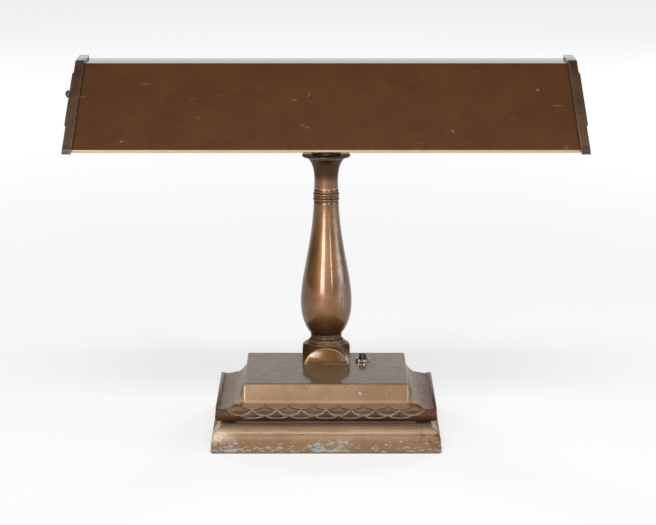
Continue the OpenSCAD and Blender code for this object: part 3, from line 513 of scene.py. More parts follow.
def base_stain_and_shade(n):
    """The band's lower half and the neck under it are painted dark as shade, and the band's ends and the end
    coves are darkened.
    """
    away = abs(n.x)
    ends = n.between(n.z, BAND_FOOT, BAND_HEAD - 2, 0.6) * n.ramp(away, 92, 100) * off_floor(n)
    band = ends * 0.8 | n.between(n.z, BAND_FOOT, BAND_FOOT + 11.5, 2.4)
    cove = n.ramp(away, RISER_HALF + 0.5, RISER_HALF + 2.0) * n.ramp(n.z, COVE_FOOT - 0.6, COVE_FOOT)
    cove = cove * n.ramp(n.facing("Y"), 0.6, 0.3)
    total = (band * 0.95 | cove * 0.3) * n.ramp(n.noise(12.0, 4.0, 0.6), 0.3, 0.6, 0.75, 1.0)
    return total | n.between(n.z, OVOLO_HEAD + 0.4, BAND_FOOT, 0.4)


def base_upward_reflection(n):
    """Faces that look up above the band have duller, greener lacquer with a painted reflection of the pale
    surroundings, and dark streaks along them.
    """
    cove = n.ramp(abs(n.x), RISER_HALF - 0.2, RISER_HALF + 0.2) * n.ramp(n.z, 40, 44)
    up = n.ramp(n.facing("Z"), 0.3, 0.55) * (cove | n.ramp(n.z, 60, 62))
    streak = n.ramp(n.noise(13.0, 6.0, 0.7, n.scaled((0.55, 1.0, 1.0)), 1.2), 0.42, 0.66, 0.0, 0.34)
    # Upward faces painted greyer: duller lacquer and a painted reflection
    n.paint(up * 0.85, n.mix(cove, rgb(126, 107, 78), rgb(150, 118, 62)))
    n.paint(up * streak, rgb(86, 69, 48))


def base_dark(n):
    """Black in the neck under the band and in the groove beside each lip, dirt and painted shade."""
    lip = SIDE_X - LIP_IN - LIP_W
    groove = n.between(abs(n.x), lip - 1.2, lip + 0.1, 0.5) * n.ramp(n.z, COVE_FOOT - 0.4, COVE_FOOT)
    return (n.between(n.z, OVOLO_HEAD + 0.3, BAND_FOOT + 0.6, 0.4)
            | groove * n.ramp(n.noise(14.0, 3.0), 0.3, 0.5, 0.5, 0.95))


def base_flakes(n):
    """The lacquer has flaked off to grey metal along the plinth's foot and in a few spots above."""
    flake = n.noise(3.4, 5.0, 0.72, n.scaled((0.55, 0.8, 1.4)), 0.4) + spot(n, 33.2, 54.2, 2.8, 2.4) * 0.3
    flake = flake + n.ramp(n.z, 24, 2) * 0.175 + n.ramp(n.noise(38.0, 2.0), 0.4, 0.7, -0.045, 0.05)
    lost = n.ramp(flake, 0.68, 0.71)
    n.paint(n.ramp(flake, 0.61, 0.67) * 0.5, rgb(146, 92, 58))
    n.paint(lost, n.mix(n.noise(2.0, 3.0), rgb(148, 158, 156), rgb(190, 200, 197)))
    return lost


def base_ends(n):
    """The clear coat is worn off the plinth's ends."""
    ends = n.ramp(n.facing("X"), 0.5, 0.8) * n.ramp(n.z, 28, 26)
    return ends | n.ramp(abs(n.x), RISER_HALF, RISER_HALF + 1) * 0.12


def base_wear_and_highlights(n):
    """The scales' rims are rubbed bright, and the riser's upright corners, a line along the quarter round,
    the riser's foot and the quarter round's top are painted lighter as highlights.
    """
    worn = n.attribute("worn") * n.ramp(n.noise(5.0, 3.0, 0.6), 0.35, 0.6, 0.35, 0.85)
    corner = n.between(abs(n.x), RISER_HALF - 1.1, RISER_HALF - 0.3, 0.5) * n.ramp(n.x, -20, 20, 1.0, 0.5)
    corner = corner * n.between(n.z, BAND_HEAD + 4, PLATE_Z - 3, 1)
    line = n.ramp(n.noise(22.0, 4.0, 0.6, n.scaled((0.5, 1.0, 1.0))), 0.4, 0.6, 0.1, 0.5)
    line = line * n.between(n.z, OVOLO_HEAD - 3.4, OVOLO_HEAD - 2.6, 0.8)
    foot = n.between(n.z, BAND_HEAD - 0.5, BAND_HEAD + 4.5, 1.5) * n.ramp(abs(n.x), 85, 80, 0.0, 0.12)
    top = n.between(n.z, OVOLO_HEAD - 4, OVOLO_HEAD + 0.2, 2) * 0.25
    front = n.ramp(abs(n.y - 0.5 * (FRONT_Y + BACK_Y)), 60, 63)
    return worn | (corner | line | foot | top) * front


def column_shade(n):
    """The column's flare and the underside of its swelling are painted dark, as shade."""
    return (n.between(n.z, COLUMN_TOP - 20, COLUMN_TOP - CAPITAL_T - 2.5, 9) * 0.9
            | n.between(n.z, COLLAR_TOP, COLLAR_TOP + 4, 16) * 0.5)


def column_side_reflection(n):
    """A pale painted reflection of a light on the right, down the right of the column's swelling and of its
    block.
    """
    out = n.get("Vector", "CombineXYZ", {"X": n.x, "Y": n.y})
    x, y, z = n.split(n.get("Vector", "VectorMath", {0: out}, operation="NORMALIZE"))
    side = n.ramp(x, 0.35, 0.6) * n.ramp(x, 0.9, 0.7) * n.ramp(y, 0.0, -0.1)
    side = side * (n.between(n.z, BLOCK_TOP + 45, COLUMN_TOP - CAPITAL_H - 26, 16)
                   | n.between(n.z, PLATE_Z + 5, BLOCK_TOP - 3, 3))
    return side * n.ramp(n.noise(7.0, 5.0, 0.65, n.scaled((1.0, 1.0, 0.5)), 0.5), 0.4, 0.6, 0.15, 0.6)


def column_flat(n):
    """1 on the flat fronts of the column's block."""
    return n.ramp(n.z, BLOCK_TOP + 1, BLOCK_TOP) * n.ramp(n.facing("X") | n.facing("Y"), 0.97, 0.99)


def column_highlights(n):
    """Painted highlights: bright lines round the flats of the block and under the capital's rim."""
    arch = n.edges(1.0, 0.998, 0.985) * n.ramp(n.z, BLOCK_TOP + 1, BLOCK_TOP)
    rim = n.between(n.z, COLUMN_TOP - CAPITAL_T - 0.9, COLUMN_TOP - CAPITAL_T + 0.1, 0.3)
    return (arch * 0.6 | rim * 0.5) * n.ramp(n.noise(7.0, 3.0), 0.35, 0.55, 0.4, 1.0)


def panel_rubbed(n):
    """The outer edges of the panels on the end caps are chipped bright."""
    out = abs(n.x) + n.z * (CAP_LEAN / SHADE_H)
    face = SHADE_L / 2 + CAP_LOW * CAP_LEAN / SHADE_H + PANEL_T
    chipped = n.ramp(n.noise(5.0, 4.0, 0.7, n.scaled((1.0, 1.0, 0.6))), 0.42, 0.55, 0.25, 0.9)
    return n.ramp(out, face - 1.3, face - 0.7) * n.edges(1.6) * chipped


def cap_low_dark(n):
    """The caps are painted darker towards their lower ends."""
    return n.ramp(n.z, HEM_Z + 9, HEM_Z + 4)


def plain_metal(name, light, dark, rough, brushed=(1.0, 1.0, 1.0)):
    """Plated or bare metal: fine directional grain, clouded roughness and darkening in the corners."""
    n = Material(name)
    grain = n.noise(0.8, 3.0, 0.6, n.scaled(brushed))
    n.tone = n.mix(n.ramp(n.noise(9.0, 4.0), 0.3, 0.7), dark, light)
    n.paint(n.ramp(n.crevice(3.0), 0.9, 0.4) * 0.5, rgb(58, 46, 36))
    return n.finish(n.ramp(grain, 0.3, 0.7, rough - 0.06, rough + 0.1), 1.0, grain, 0.012)


def enamel(name, light, dark, rough, bump_mm=0.02, metallic=0.0, coat=0.0, size=14.0):
    """Paint or moulded plastic: slight mottling, soft orange peel and darkening in the corners."""
    n = Material(name)
    n.tone = n.mix(n.ramp(n.noise(size, 4.0, 0.6), 0.3, 0.7), dark, light)
    n.paint(n.ramp(n.crevice(3.5), 0.9, 0.35) * 0.5, shade_of(dark, 0.45))
    roughness = n.ramp(n.noise(6.0, 4.0), 0.3, 0.7, rough - 0.05, rough + 0.07)
    return n.finish(roughness, metallic, n.noise(1.6, 3.0), bump_mm, coat)


def felt():
    n = Material("felt_fibres")
    fibre = n.noise(0.5, 5.0, 0.75, n.scaled((1.0, 0.4, 1.0)), 1.5)
    n.tone = n.mix(n.ramp(fibre, 0.3, 0.7), rgb(26, 30, 27), rgb(48, 54, 49))
    n.paint(n.ramp(n.noise(18.0, 3.0), 0.45, 0.7, 0.0, 0.4), rgb(60, 58, 50))
    return n.finish(0.95, 0.0, fibre, 0.25, more={"Sheen Weight": 0.4})


def lamp_glass():
    """White glass, darkened towards its ends as in a used lamp."""
    n = Material("phosphor_glass")
    n.measure()
    cloud = n.ramp(n.noise(60.0, 3.0, 0.5, n.scaled((0.3, 1.0, 1.0))), 0.35, 0.7)
    n.tone = n.mix(cloud, rgb(232, 233, 228), rgb(240, 240, 237))
    n.paint(n.ramp(abs(n.x), 188, 206, 0.0, 0.45), rgb(150, 146, 138))
    return n.finish(n.ramp(n.noise(20.0, 3.0), 0.3, 0.7, 0.12, 0.2), 0.0, n.noise(30.0, 2.0), 0.02, 0.6)


base_lacquer = lacquer("lacquer_base", rgb(163, 132, 99), rgb(147, 114, 82), 0.5, 0.3, 0.5, 0.1, 0.8,
                       wear_and_highlight=0.9, dirt_and_shade=0.45, reach_mm=3.0, part="base", more={"Specular IOR Level": 0.25})
column_lacquer = lacquer("lacquer_column", rgb(140, 100, 62), rgb(108, 72, 42), 0.46, 0.9, 1.0, 0.13, 0.9,
                         wear_and_highlight=1.0, beside_mm=2.0, part="column",
                         more={"Specular Tint": (0.30, 0.22, 0.16, 1.0)})
# Scars: x, z, half length, half height, turn
shade_lacquer = lacquer("lacquer_shade", rgb(101, 64, 34), rgb(92, 57, 30), 0.55, 0.2, 0.6, 0.1, 0.2,
                        scratches=0.35, grain_mm=0.02, hem=rgb(214, 176, 134),
                        scars=((-237, 337, 5, 0.5, 0), (-197, 298, 3, 1.0, 8), (206, 343, 2.0, 1.6, 0),
                               (224, 329, 7, 0.5, -5), (-20, 311, 8, 0.6, -20), (-176, 348, 7, 0.5, 5),
                               (122, 307, 2.0, 1.4, 0)), more={"Specular IOR Level": 0.2})
cap_lacquer = lacquer("lacquer_caps", rgb(106, 78, 58), rgb(78, 54, 38), 0.45, 0.5, 0.9, 0.14, 0.7,
                      scratches=0.3, wear_and_highlight=0.22, dirt_and_shade=0.9, part="caps")
brass = plain_metal("plain_brass", rgb(206, 168, 96), rgb(172, 132, 70), 0.28)
nickel = plain_metal("nickel_plate", rgb(216, 212, 200), rgb(188, 182, 168), 0.18)
button_plastic = enamel("button_plastic", rgb(22, 21, 21), rgb(14, 14, 14), 0.16, 0.008, coat=0.5, size=3.0)


def dress(material, *names):
    """The CAD nodes that keep their shape take a material only."""
    for name in names:
        give(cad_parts[name], material)


dress(brass, "threaded_tube", "tube_locknut", "tube_pins_front", "tube_pins_rear")
dress(enamel("dark_bronze", rgb(52, 38, 28), rgb(38, 28, 21), 0.45, 0.03, 0.3),
      "stop_pin", "swivel_yoke", "swivel_top_washer", "swivel_locknut", "tilt_bracket")
dress(plain_metal("zinc_steel", rgb(176, 178, 180), rgb(150, 152, 156), 0.32, (0.12, 1.0, 1.0)),
      "cover_screws", "ballast_screws", "tube_washer", "hinge_bolt", "bracket_screws", "spine_channel",
      "holder_plate_left", "holder_plate_right", "plate_screws", "holder_screws")
dress(plain_metal("bright_aluminium", rgb(206, 208, 212), rgb(184, 186, 192), 0.3, (1.0, 1.0, 0.1)),
      "starter_left", "starter_right", "tube_caps_front", "tube_caps_rear")
dress(enamel("white_enamel", rgb(228, 227, 220), rgb(214, 212, 202), 0.3, 0.03, coat=0.3), "reflector")
dress(enamel("white_plastic", rgb(226, 223, 212), rgb(212, 207, 194), 0.42),
      "lampholders_front", "lampholders_rear", "starter_sockets", "rotors_front", "rotors_rear")
dress(enamel("black_plastic", rgb(34, 31, 29), rgb(24, 22, 21), 0.38), "switch_body")
dress(enamel("black_enamel", rgb(44, 44, 46), rgb(30, 30, 32), 0.34, 0.05, coat=0.2),
      "ballast_front", "ballast_rear")
dress(enamel("grey_enamel", rgb(122, 122, 124), rgb(106, 106, 110), 0.4, 0.05), "bottom_cover")
dress(enamel("black_rubber", rgb(34, 33, 32), rgb(26, 25, 25), 0.65, 0.05), "cord_bushing")
dress(enamel("red_fibre", rgb(120, 66, 44), rgb(98, 52, 36), 0.6, 0.04, size=2.5),
      "swivel_washer", "friction_washers")
dress(enamel("lead_insulation", rgb(222, 214, 190), rgb(204, 194, 168), 0.5, 0.02, size=5.0),
      "column_leads", "channel_leads")


# -------- base
def plinth_side():
    return ([(0, 0)] + arc(EDGE_LEAN + OVOLO_RUN, EDGE_H, OVOLO_RUN, OVOLO_RISE, 180, 90, 24)
            + [(NECK_IN, OVOLO_TOP), (NECK_IN, BAND_LOW)])


def riser_top(step):
    return ([(RISER_IN + step, BAND_TOP)]
            + arc(PLATE_IN + step + 1.3, BASE_H - 1.3, 1.3, 1.3, 170, 90, 6))


def front_side(step):
    return (plinth_side() + arc(RISER_IN + 0.5, BAND_LOW + BAND_H / 2, -BAND_BULGE, BAND_H / 2, -90, 90, 28)
            + riser_top(step))


def end_side():
    slab = arc(LIP_IN - 0.6 + SLAB_R, BAND_LOW + SLAB_R, SLAB_R, SLAB_R, 270, 180, 8)
    lip = (arc(LIP_IN + 0.9, COVE_FLOOR + LIP_H - 0.9, 0.9, 0.9, 170, 90, 6)
           + arc(LIP_IN + LIP_W - 0.9, COVE_FLOOR + LIP_H - 0.9, 0.9, 0.9, 90, 10, 6))
    cove = arc(COVE_IN, COVE_UP, COVE_R, COVE_R, -90, -19, 28)
    return (plinth_side() + slab + [(LIP_IN, COVE_FLOOR)] + lip + [(LIP_IN + LIP_W, COVE_FLOOR + 0.3)] + cove
            + arc(PLATE_SIDE_IN - 0.6 + 1.3, BASE_H - 1.3, 1.3, 1.3, 178, 90, 6))


def both_sides(points, low, high):
    return ([(low + d, z + FELT) for d, z in points]
            + [(high - d, z + FELT) for d, z in reversed(points)])


def end_cut(name, side, half):
    """A section drawn out along X, with the section of the casting's ends cut across it."""
    obj = prism(name, both_sides(side, FRONT_Y, BACK_Y), "X", -half, half)
    ends = prism("ends", both_sides(end_side(), -SIDE_X, SIDE_X), "Y", FRONT_Y, BACK_Y)
    return boolean(obj, ends, "INTERSECT")


def make_base():
    body = end_cut("base_body", front_side(CHEEK), SIDE_X)
    riser = end_cut("riser", [(RISER_IN + 5, BAND_TOP - 5)] + riser_top(0), PLATE_SIDE_X + 4)
    middle = box("middle", (-RISER_HALF, FRONT_Y, 20), (RISER_HALF, BACK_Y, 90))
    boolean(riser, middle, "INTERSECT")
    bevelled(riser, 1.4, 3, 60.0)
    boolean(body, riser, "UNION")
    # The hollow inside narrows upward in three steps
    for inset_x, inset_y, low, high in ((9, 9, -1, FELT + 17.4), (28.8, 28.8, 10, FELT + 33.2),
                                        (COVE_IN + COVE_R + WALL, 29.2, 30, PLATE_Z - WALL)):
        room = box("room", (-SIDE_X + inset_x, FRONT_Y + inset_y, low),
                   (SIDE_X - inset_x, BACK_Y - inset_y, high))
        boolean(body, room, "DIFFERENCE")
    for x, y, radius in ((SWITCH_X, SWITCH_Y, SWITCH_HOLE_R), (0, 0, BORE_R)):
        hole = lathe("hole", [(0, 50), (radius, 50), (radius, 70), (0, 70)], 48, (x, y, 0))
        boolean(body, hole, "DIFFERENCE")
    inlet = [(0, -20), (CORD_R, -20), (CORD_R, -CORD_SEAT_H), (CORD_SEAT_R, -CORD_SEAT_H),
             (CORD_SEAT_R, 5), (0, 5)]
    boolean(body, lathe("hole", inlet, 48, (0, BACK_Y, FELT + CORD_Z), "Y"), "DIFFERENCE")
    return bevelled(body, 0.45, 2, 28.0, 16.0)


# Rows of scales: angle on the band at the cusps, depth of the arcs in degrees, shift in pitches,
# last centre, and how far the body and the rim stand out
PITCH = 23.9
TIPS = (78.0, 34.0, 0.0, 3)
SCALE_ROWS = ((40.0, 45.0, 0.5, 3.5, 0.40, 0.80), (-4.0, 24.0, 0.0, 3, 0.25, 0.55))
TIP_PROUD = 1.25
FOOT_TOP = BAND_TOP + 5.0
BAND_MM_PER_DEG = radians(0.5 * (BAND_BULGE + BAND_H / 2))


def smooth_step(value, low, high):
    t = min(1.0, max(0.0, (value - low) / (high - low)))
    return t * t * (3 - 2 * t)


def hump(value, centre, width):
    return exp(-((value - centre) / width) ** 2)


def band_point(angle, proud):
    """A point over the band's half ellipse, as (distance in from the plinth's edge, height)."""
    a = radians(angle)
    normal = Vector((cos(a) / BAND_BULGE, sin(a) / (BAND_H / 2))).normalized()
    return Vector((RISER_IN + 0.5 - BAND_BULGE * cos(a) - proud * normal.x,
                   BAND_LOW + BAND_H / 2 * (1 + sin(a)) + proud * normal.y))


def scale_edge(row, x):
    """Angle on the band where this row's scales end at x, or None beyond its last scale."""
    cusp, depth, shift, last = row[:4]
    cell = x / PITCH - shift
    centre = round(cell) + shift
    if abs(centre) > last + 0.01:
        return None
    u = 2 * (x / PITCH - centre)
    flat = 1.06
    least = sqrt(flat * flat - 1)
    return cusp - depth * (sqrt(max(flat * flat - u * u, 0)) - least) / (flat - least)


def inside_scales(row, x, angle):
    """How far inside this row's scales a place on the band lies, or None beyond its last scale."""
    edge, near = scale_edge(row, x), scale_edge(row, x + 0.2)
    if edge is None:
        return None
    slope = 0.0 if near is None else (near - edge) * BAND_MM_PER_DEG / 0.2
    return (angle - edge) * BAND_MM_PER_DEG / sqrt(1 + slope * slope)


def scale_relief(x, angle):
    """How far the cast scales of the lower rows stand out of the band."""
    for row in SCALE_ROWS:
        inside = inside_scales(row, x, angle)
        if inside is None or inside < 0:
            continue
        body, rim = row[4:6]
        height = body + rim * hump(inside, 0.8, 0.5) + 0.2 * smooth_step(inside, 1.6, 5.0)
        return height * smooth_step(inside, 0.0, 0.45)
    return 0.04


def scale_tones(x, angle, top):
    """How far the rims are rubbed bright, and how dark the band is painted below the edges, as dirt and as
    painted shade.
    """
    worn, grime = 0.0, 0.6
    for index, row in enumerate(SCALE_ROWS):
        inside = inside_scales(row, x, angle)
        if inside is None:
            continue
        if inside > 0:
            worn = (0.6, 0.35)[index] * hump(inside, 0.8, 0.6)
            grime = (0.0, 0.4)[index]
            break
        grime = max(grime, 0.75 * hump(inside, -0.3, 0.55))
    upper = scale_edge(TIPS, x)
    gap = ((top if upper is None else upper - 3.2) - angle) * BAND_MM_PER_DEG
    grime = max(grime, 0.95 * (1 - smooth_step(gap, 0.5, 1.5)), 0.4 * (1 - smooth_step(gap, 1.0, 4.0)))
    return worn * (1 - grime * (gap < 1.5)), grime


def sheet(name, verts, rows, front, **values):
    """An open sheet through columns of points, which faces the front or the back."""
    starts = [k for k in range(len(verts) - rows) if k % rows < rows - 1]
    obj = mesh(name, verts, [(k, k + rows, k + rows + 1, k + 1) for k in starts], 60.0, values)
    if (sum(polygon.normal.y for polygon in obj.data.polygons) > 0) == front:
        obj.data.flip_normals()
    return obj


def from_edge(depth, front):
    return FRONT_Y + depth if front else BACK_Y - depth


def band_limit(x):
    """The highest angle on the band that the hollow of the end cove leaves standing at x."""
    reach = max(0.0, SIDE_X - abs(x) - COVE_IN)
    cove_z = COVE_UP - sqrt(max(0.0, COVE_R ** 2 - reach ** 2)) if reach < COVE_R else COVE_UP
    rise = (cove_z - 0.25 - BAND_LOW) / (BAND_H / 2) - 1
    return 102.0 if rise >= 0.99 else min(102.0, degrees(asin(rise)))


def make_scales(name, front):
    """The relief of the lower rows over the band, with its borders sunk in the casting."""
    half, columns, rows = 97.0, 462, 86
    verts, worn, grime = [], [], []
    for i in range(columns + 1):
        x = -half + 2 * half * i / columns
        top = band_limit(x)
        for j in range(rows):
            angle = top - (top + 68) * j / (rows - 1)
            relief = scale_relief(x, angle) + 0.05 * noise.noise(Vector((x * 0.35, angle * 0.05, 2.0)))
            border = min(smooth_step(half - abs(x), 0.0, 1.5), smooth_step(angle, -68, -58),
                         smooth_step(top - angle, 0, 3))
            depth, z = band_point(angle, relief * border - 0.25 * (1 - border))
            verts.append((x, from_edge(depth, front), FELT + z))
            rubbed, dirty_and_shaded = scale_tones(x, angle, top)
            worn.append(rubbed)
            grime.append(dirty_and_shaded)
    return sheet(name, verts, rows, front, worn=worn, grime=grime)


def make_tips(name, front):
    """The upper row: the riser's foot runs out over the band in rounded tips with a raised edge."""
    half, columns = 83.4, 396
    verts, grime = [], []
    for i in range(columns + 1):
        x = -half + 2 * half * i / columns
        edge = scale_edge(TIPS, x)
        lean = (PLATE_IN - RISER_IN) / (BASE_H - BAND_TOP)
        step = CHEEK * smooth_step(abs(x), RISER_HALF - 1.2, RISER_HALF + 0.3)
        start = Vector((RISER_IN + step + lean * (FOOT_TOP - BAND_TOP) + 0.15, FOOT_TOP))
        border = smooth_step(half - abs(x), 0.0, 1.4)
        proud = TIP_PROUD * border - 0.3 * (1 - border)
        tip = band_point(edge, proud)
        run = (tip - band_point(edge + 2, proud)).normalized()
        pull = 0.38 * (tip - start).length
        bend = (start, start + Vector((-lean, -1)) * pull, tip - run * pull, tip)
        for j in range(23):
            t = j / 22
            point = [cubic(*axis, t) for axis in zip(*bend)]
            verts.append((x, from_edge(point[0] + 0.4 * (1 - border), front), FELT + point[1]))
            grime.append(0.0)
        # Below each tip's edge the band drops away and is painted dark, dirt and painted shade under the tip
        for drop, keep in ((1.2, 0.97), (2.2, 0.84), (2.9, 0.55), (3.2, -0.2)):
            depth, z = band_point(edge - drop, proud * keep)
            verts.append((x, from_edge(depth, front), FELT + z))
            grime.append(0.0 if keep > 0.9 else 0.9)
    return sheet(name, verts, 27, front, grime=grime)


placed(make_base(), "base", "bronze_iron", base_lacquer, "base_casting")
for make, name in ((make_scales, "scales_"), (make_tips, "scale_tips_")):
    placed(make(name + "front", True), "base", "bronze_iron", base_lacquer)
    placed(make(name + "back", False), "base", "bronze_iron", base_lacquer)
pad = bevelled(box("felt_sheet", (-SIDE_X + 1, FRONT_Y + 1, 0), (SIDE_X - 1, BACK_Y - 1, FELT)), 0.5, 3)
placed(pad, "base", "felt", felt(), "felt_pad")


# -------- column
def bead(radius, low, high, bulge):
    return arc(radius, (low + high) / 2, bulge, (high - low) / 2, -90, 90, 10)


def turn_radius(height):
    return 7 + sqrt(BLOCK_TURN ** 2 - (height + 3.1) ** 2)


def column_ring(name, profile, low, steps, *nodes):
    """A turned piece of the column, with the bore for the tube through it."""
    ring = lathe(name, profile, steps, (0, 0, low), closed=True)
    placed(ring, "base", "bronze", column_lacquer, *nodes)


SHOULDER = BLOCK_H - 4
block_profile = [(turn_radius(SHOULDER * i / 24), SHOULDER * i / 24) for i in range(25)]
block = lathe("block_foot", [(0, 0)] + block_profile + [(0, SHOULDER)], 192, (0, 0, PLATE_Z))
square = box("square", (-BLOCK_W / 2, -BLOCK_W / 2, PLATE_Z - 1), (BLOCK_W / 2, BLOCK_W / 2, 120))
boolean(block, square, "INTERSECT")
bevelled(block, 0.5, 3, 14.0, 20.0)
placed(block, "base", "bronze", column_lacquer, "pedestal_block")
ring_profile = ([(BORE_R, SHOULDER - 1), (COLLAR_R + 4.2, SHOULDER - 1), (COLLAR_R + 4.2, SHOULDER + 0.4)]
                + arc(COLLAR_R + 3.9, SHOULDER + 1.7, -2.6, -1.2, 90, 0, 8)[1:]
                + bead(COLLAR_R + 0.9, SHOULDER + 1.7, SHOULDER + 3.8, 1.1)
                + [(COLLAR_R - 0.7, BLOCK_H - 0.2), (COLLAR_R - 0.7, BLOCK_H), (BORE_R, BLOCK_H)])
column_ring("block_ring", ring_profile, PLATE_Z, 128)
collar_profile = ([(BORE_R, 0), (COLLAR_R - 0.8, 0)]
                  + bead(COLLAR_R - 0.6, COLLAR_H * 0.06, COLLAR_H * 0.54, 0.6)
                  + [(COLLAR_R - 0.8, COLLAR_H * 0.56)]
                  + bead(COLLAR_R - 0.5, COLLAR_H * 0.58, COLLAR_H * 0.98, 0.5)
                  + [(COLLAR_R - 0.9, COLLAR_H), (BORE_R, COLLAR_H)])
column_ring("collar_beads", collar_profile, BLOCK_TOP, 128, "column_collar")

VASE_SWELL, VASE_NECK = 32.2, VASE_H - RINGS_H


def vase_profile():
    foot = acos((COLLAR_R - 0.4) / VASE_R)
    points = [(BORE_R, 0.0)]
    for i in range(33):
        a = foot * (1 - i / 32)
        points.append((VASE_R * cos(a), VASE_SWELL * (1 - sin(a) / sin(foot))))
    rise = VASE_NECK - VASE_SWELL
    for i in range(1, 57):
        t = i / 56
        points.append((cubic(VASE_R, VASE_R, NECK_R + 1.75, NECK_R, t),
                       cubic(VASE_SWELL, VASE_SWELL + 0.277 * rise, VASE_NECK - 0.434 * rise, VASE_NECK, t)))
    # The neck's rings, from below
    r, z = NECK_R, VASE_NECK
    points += [(r - 0.35, z + 0.5)] + bead(r - 0.1, z + 0.7, z + 3.5, 0.9) + [(r - 0.3, z + 3.8)]
    points += bead(r + 0.1, z + 4.0, z + 5.4, 0.35) + [(r - 0.3, z + 5.7)]
    points += bead(r - 0.1, z + 6.0, z + 8.8, 0.9) + [(r - 0.4, z + 9.2)]
    points += arc(r - 0.3, z + 10.5, 0.35, 0.9, -80, 60, 6)
    return points + [(r - 0.35, VASE_H), (BORE_R, VASE_H)]


column_ring("vase", vase_profile(), COLLAR_TOP, 160, "column_vase")


def capital_profile():
    foot, flare, foot_z, high = NECK_R - 0.6, CAPITAL_R - 1.7, 9.8, CAPITAL_H - CAPITAL_T
    points = [(BORE_R, 0), (NECK_R - 0.35, 0), (NECK_R - 0.45, 2), (foot, 5)]
    points += arc(flare, foot_z, foot - flare, high - foot_z, 0, 90, 30)
    points += [(flare + 0.3, high)]
    points += arc(CAPITAL_R - 1.0, high + CAPITAL_T / 2, 1.0, CAPITAL_T / 2, -90, 90, 12)
    return points + [(BORE_R, CAPITAL_H)]


column_ring("capital", capital_profile(), COLUMN_TOP - CAPITAL_H, 128, "column_capital")


# -------- push switch
def knurled(name, radius, inner, height, count, depth, at, axis="Z"):
    """A round nut with a knurled rim, chamfered above and below."""
    steps = count * 4
    rows = [(inner, 0.0, 0.0), (radius - 0.7, 0.0, 0.0), (radius, 0.6, 1.0), (radius, height - 0.7, 1.0),
            (radius - 0.8, height, 0.0), (inner + 0.3, height, 0.0), (inner, height - 0.3, 0.0)]
    verts, faces = [], []
    for i, (r, z, cut) in enumerate(rows):
        for k in range(steps):
            a = 2 * pi * k / steps
            reach = r - depth * cut * (0.5 + 0.5 * cos(count * a))
            verts.append((reach * cos(a), reach * sin(a), z))
        faces += ring_faces(i * steps, (i + 1) % len(rows) * steps, steps)
    return mesh(name, turned(verts, axis, at), faces, 30.0)


nut = knurled("switch_ring", SWITCH_NUT_R, 5.25, SWITCH_NUT_H, 40, 0.25, (SWITCH_X, SWITCH_Y, PLATE_Z))
placed(nut, "base", "nickel", nickel, "switch_nut")
button_low, button_top = PLATE_Z - WALL - 6, PLATE_Z + SWITCH_NUT_H + BUTTON_UP
button_profile = ([(0, button_low), (4.7, button_low), (4.7, button_low + 1.5), (3.5, button_low + 1.5)]
                  + arc(2.5, button_top - 1.0, 1.0, 0.8, 0, 80, 8)
                  + [(1.2, button_top - 0.05), (0, button_top)])
button = lathe("button_cap", button_profile, 64, (SWITCH_X, SWITCH_Y, 0))
placed(button, "button", "button_black", button_plastic, "switch_button")


# -------- shade
def shade_side(inset, low):
    """The section's right half, from its low end up, drawn in by a distance or out by a negative one."""
    corner = HEM_Z + HEM_H - inset * tan((pi / 2 - SLOPE) / 2)
    y = HALF_LOW - inset
    points = [(y - max(0.0, low - corner) / tan(SLOPE), low)]
    if low < corner:
        points.append((y, corner))
    return points + [(HALF_TOP - inset * tan(SLOPE / 2), SHADE_TOP - inset)]


def section(inset, low, radius=0.0, count=5):
    """The whole section as an open path from the left low end over the top to the right one."""
    side = shade_side(inset, low)
    path = [(-y, z) for y, z in side] + side[::-1]
    if radius <= 0:
        return path
    rounded = [path[0]]
    for before, at, after in zip(path, path[1:], path[2:]):
        p, a, b = Vector(at), Vector(before) - Vector(at), Vector(after) - Vector(at)
        bend = pi - a.angle(b)
        reach = min(radius * tan(bend / 2), 0.45 * a.length, 0.45 * b.length)
        start, end = p + a.normalized() * reach, p + b.normalized() * reach
        for i in range(count + 1):
            t = i / count
            rounded.append(tuple(start * (1 - t) ** 2 + p * 2 * t * (1 - t) + end * t * t))
    return rounded + [path[-1]]


def cap_x(z):
    return SHADE_L / 2 - (z - CAP_LOW) * CAP_LEAN / SHADE_H


def leaning(name, loop, low, high, side, high_loop=None):
    """A closed loop of (y, z) made solid between two distances from the cap's leaning outer face."""
    verts = [(side * (cap_x(z) + low), y, z) for y, z in loop]
    verts += [(side * (cap_x(z) + high), y, z) for y, z in (high_loop or loop)]
    return mesh(name, verts, tube_faces(len(loop)))


def make_shell():
    """The folded sheet, with the slight waves of hand-worked metal along its length."""
    loop = section(0.0, HEM_Z, 1.6) + section(SHEET, HEM_Z, 0.8)[::-1]
    columns, verts = 120, []
    for i in range(columns + 1):
        t = -1 + 2 * i / columns
        for y, z in loop:
            x = t * (cap_x(z) - CAP_WEB - 0.15)
            wave = 0.10 * noise.noise(Vector((x * 0.016, y * 0.03, z * 0.03)))
            wave *= smooth_step(HEM_Z + 60 - z, 0, 30) * smooth_step(z, HEM_Z + 3, HEM_Z + 12)
            verts.append((x, y + copysign(wave, y) if wave else y, z))
    return mesh("shade_sheet", verts, tube_faces(len(loop), columns + 1), 30.0)


# The floor of the round seat for the knob or the screw
SEAT_X = cap_x(CAP_SCREW_Z) + PANEL_T - 1


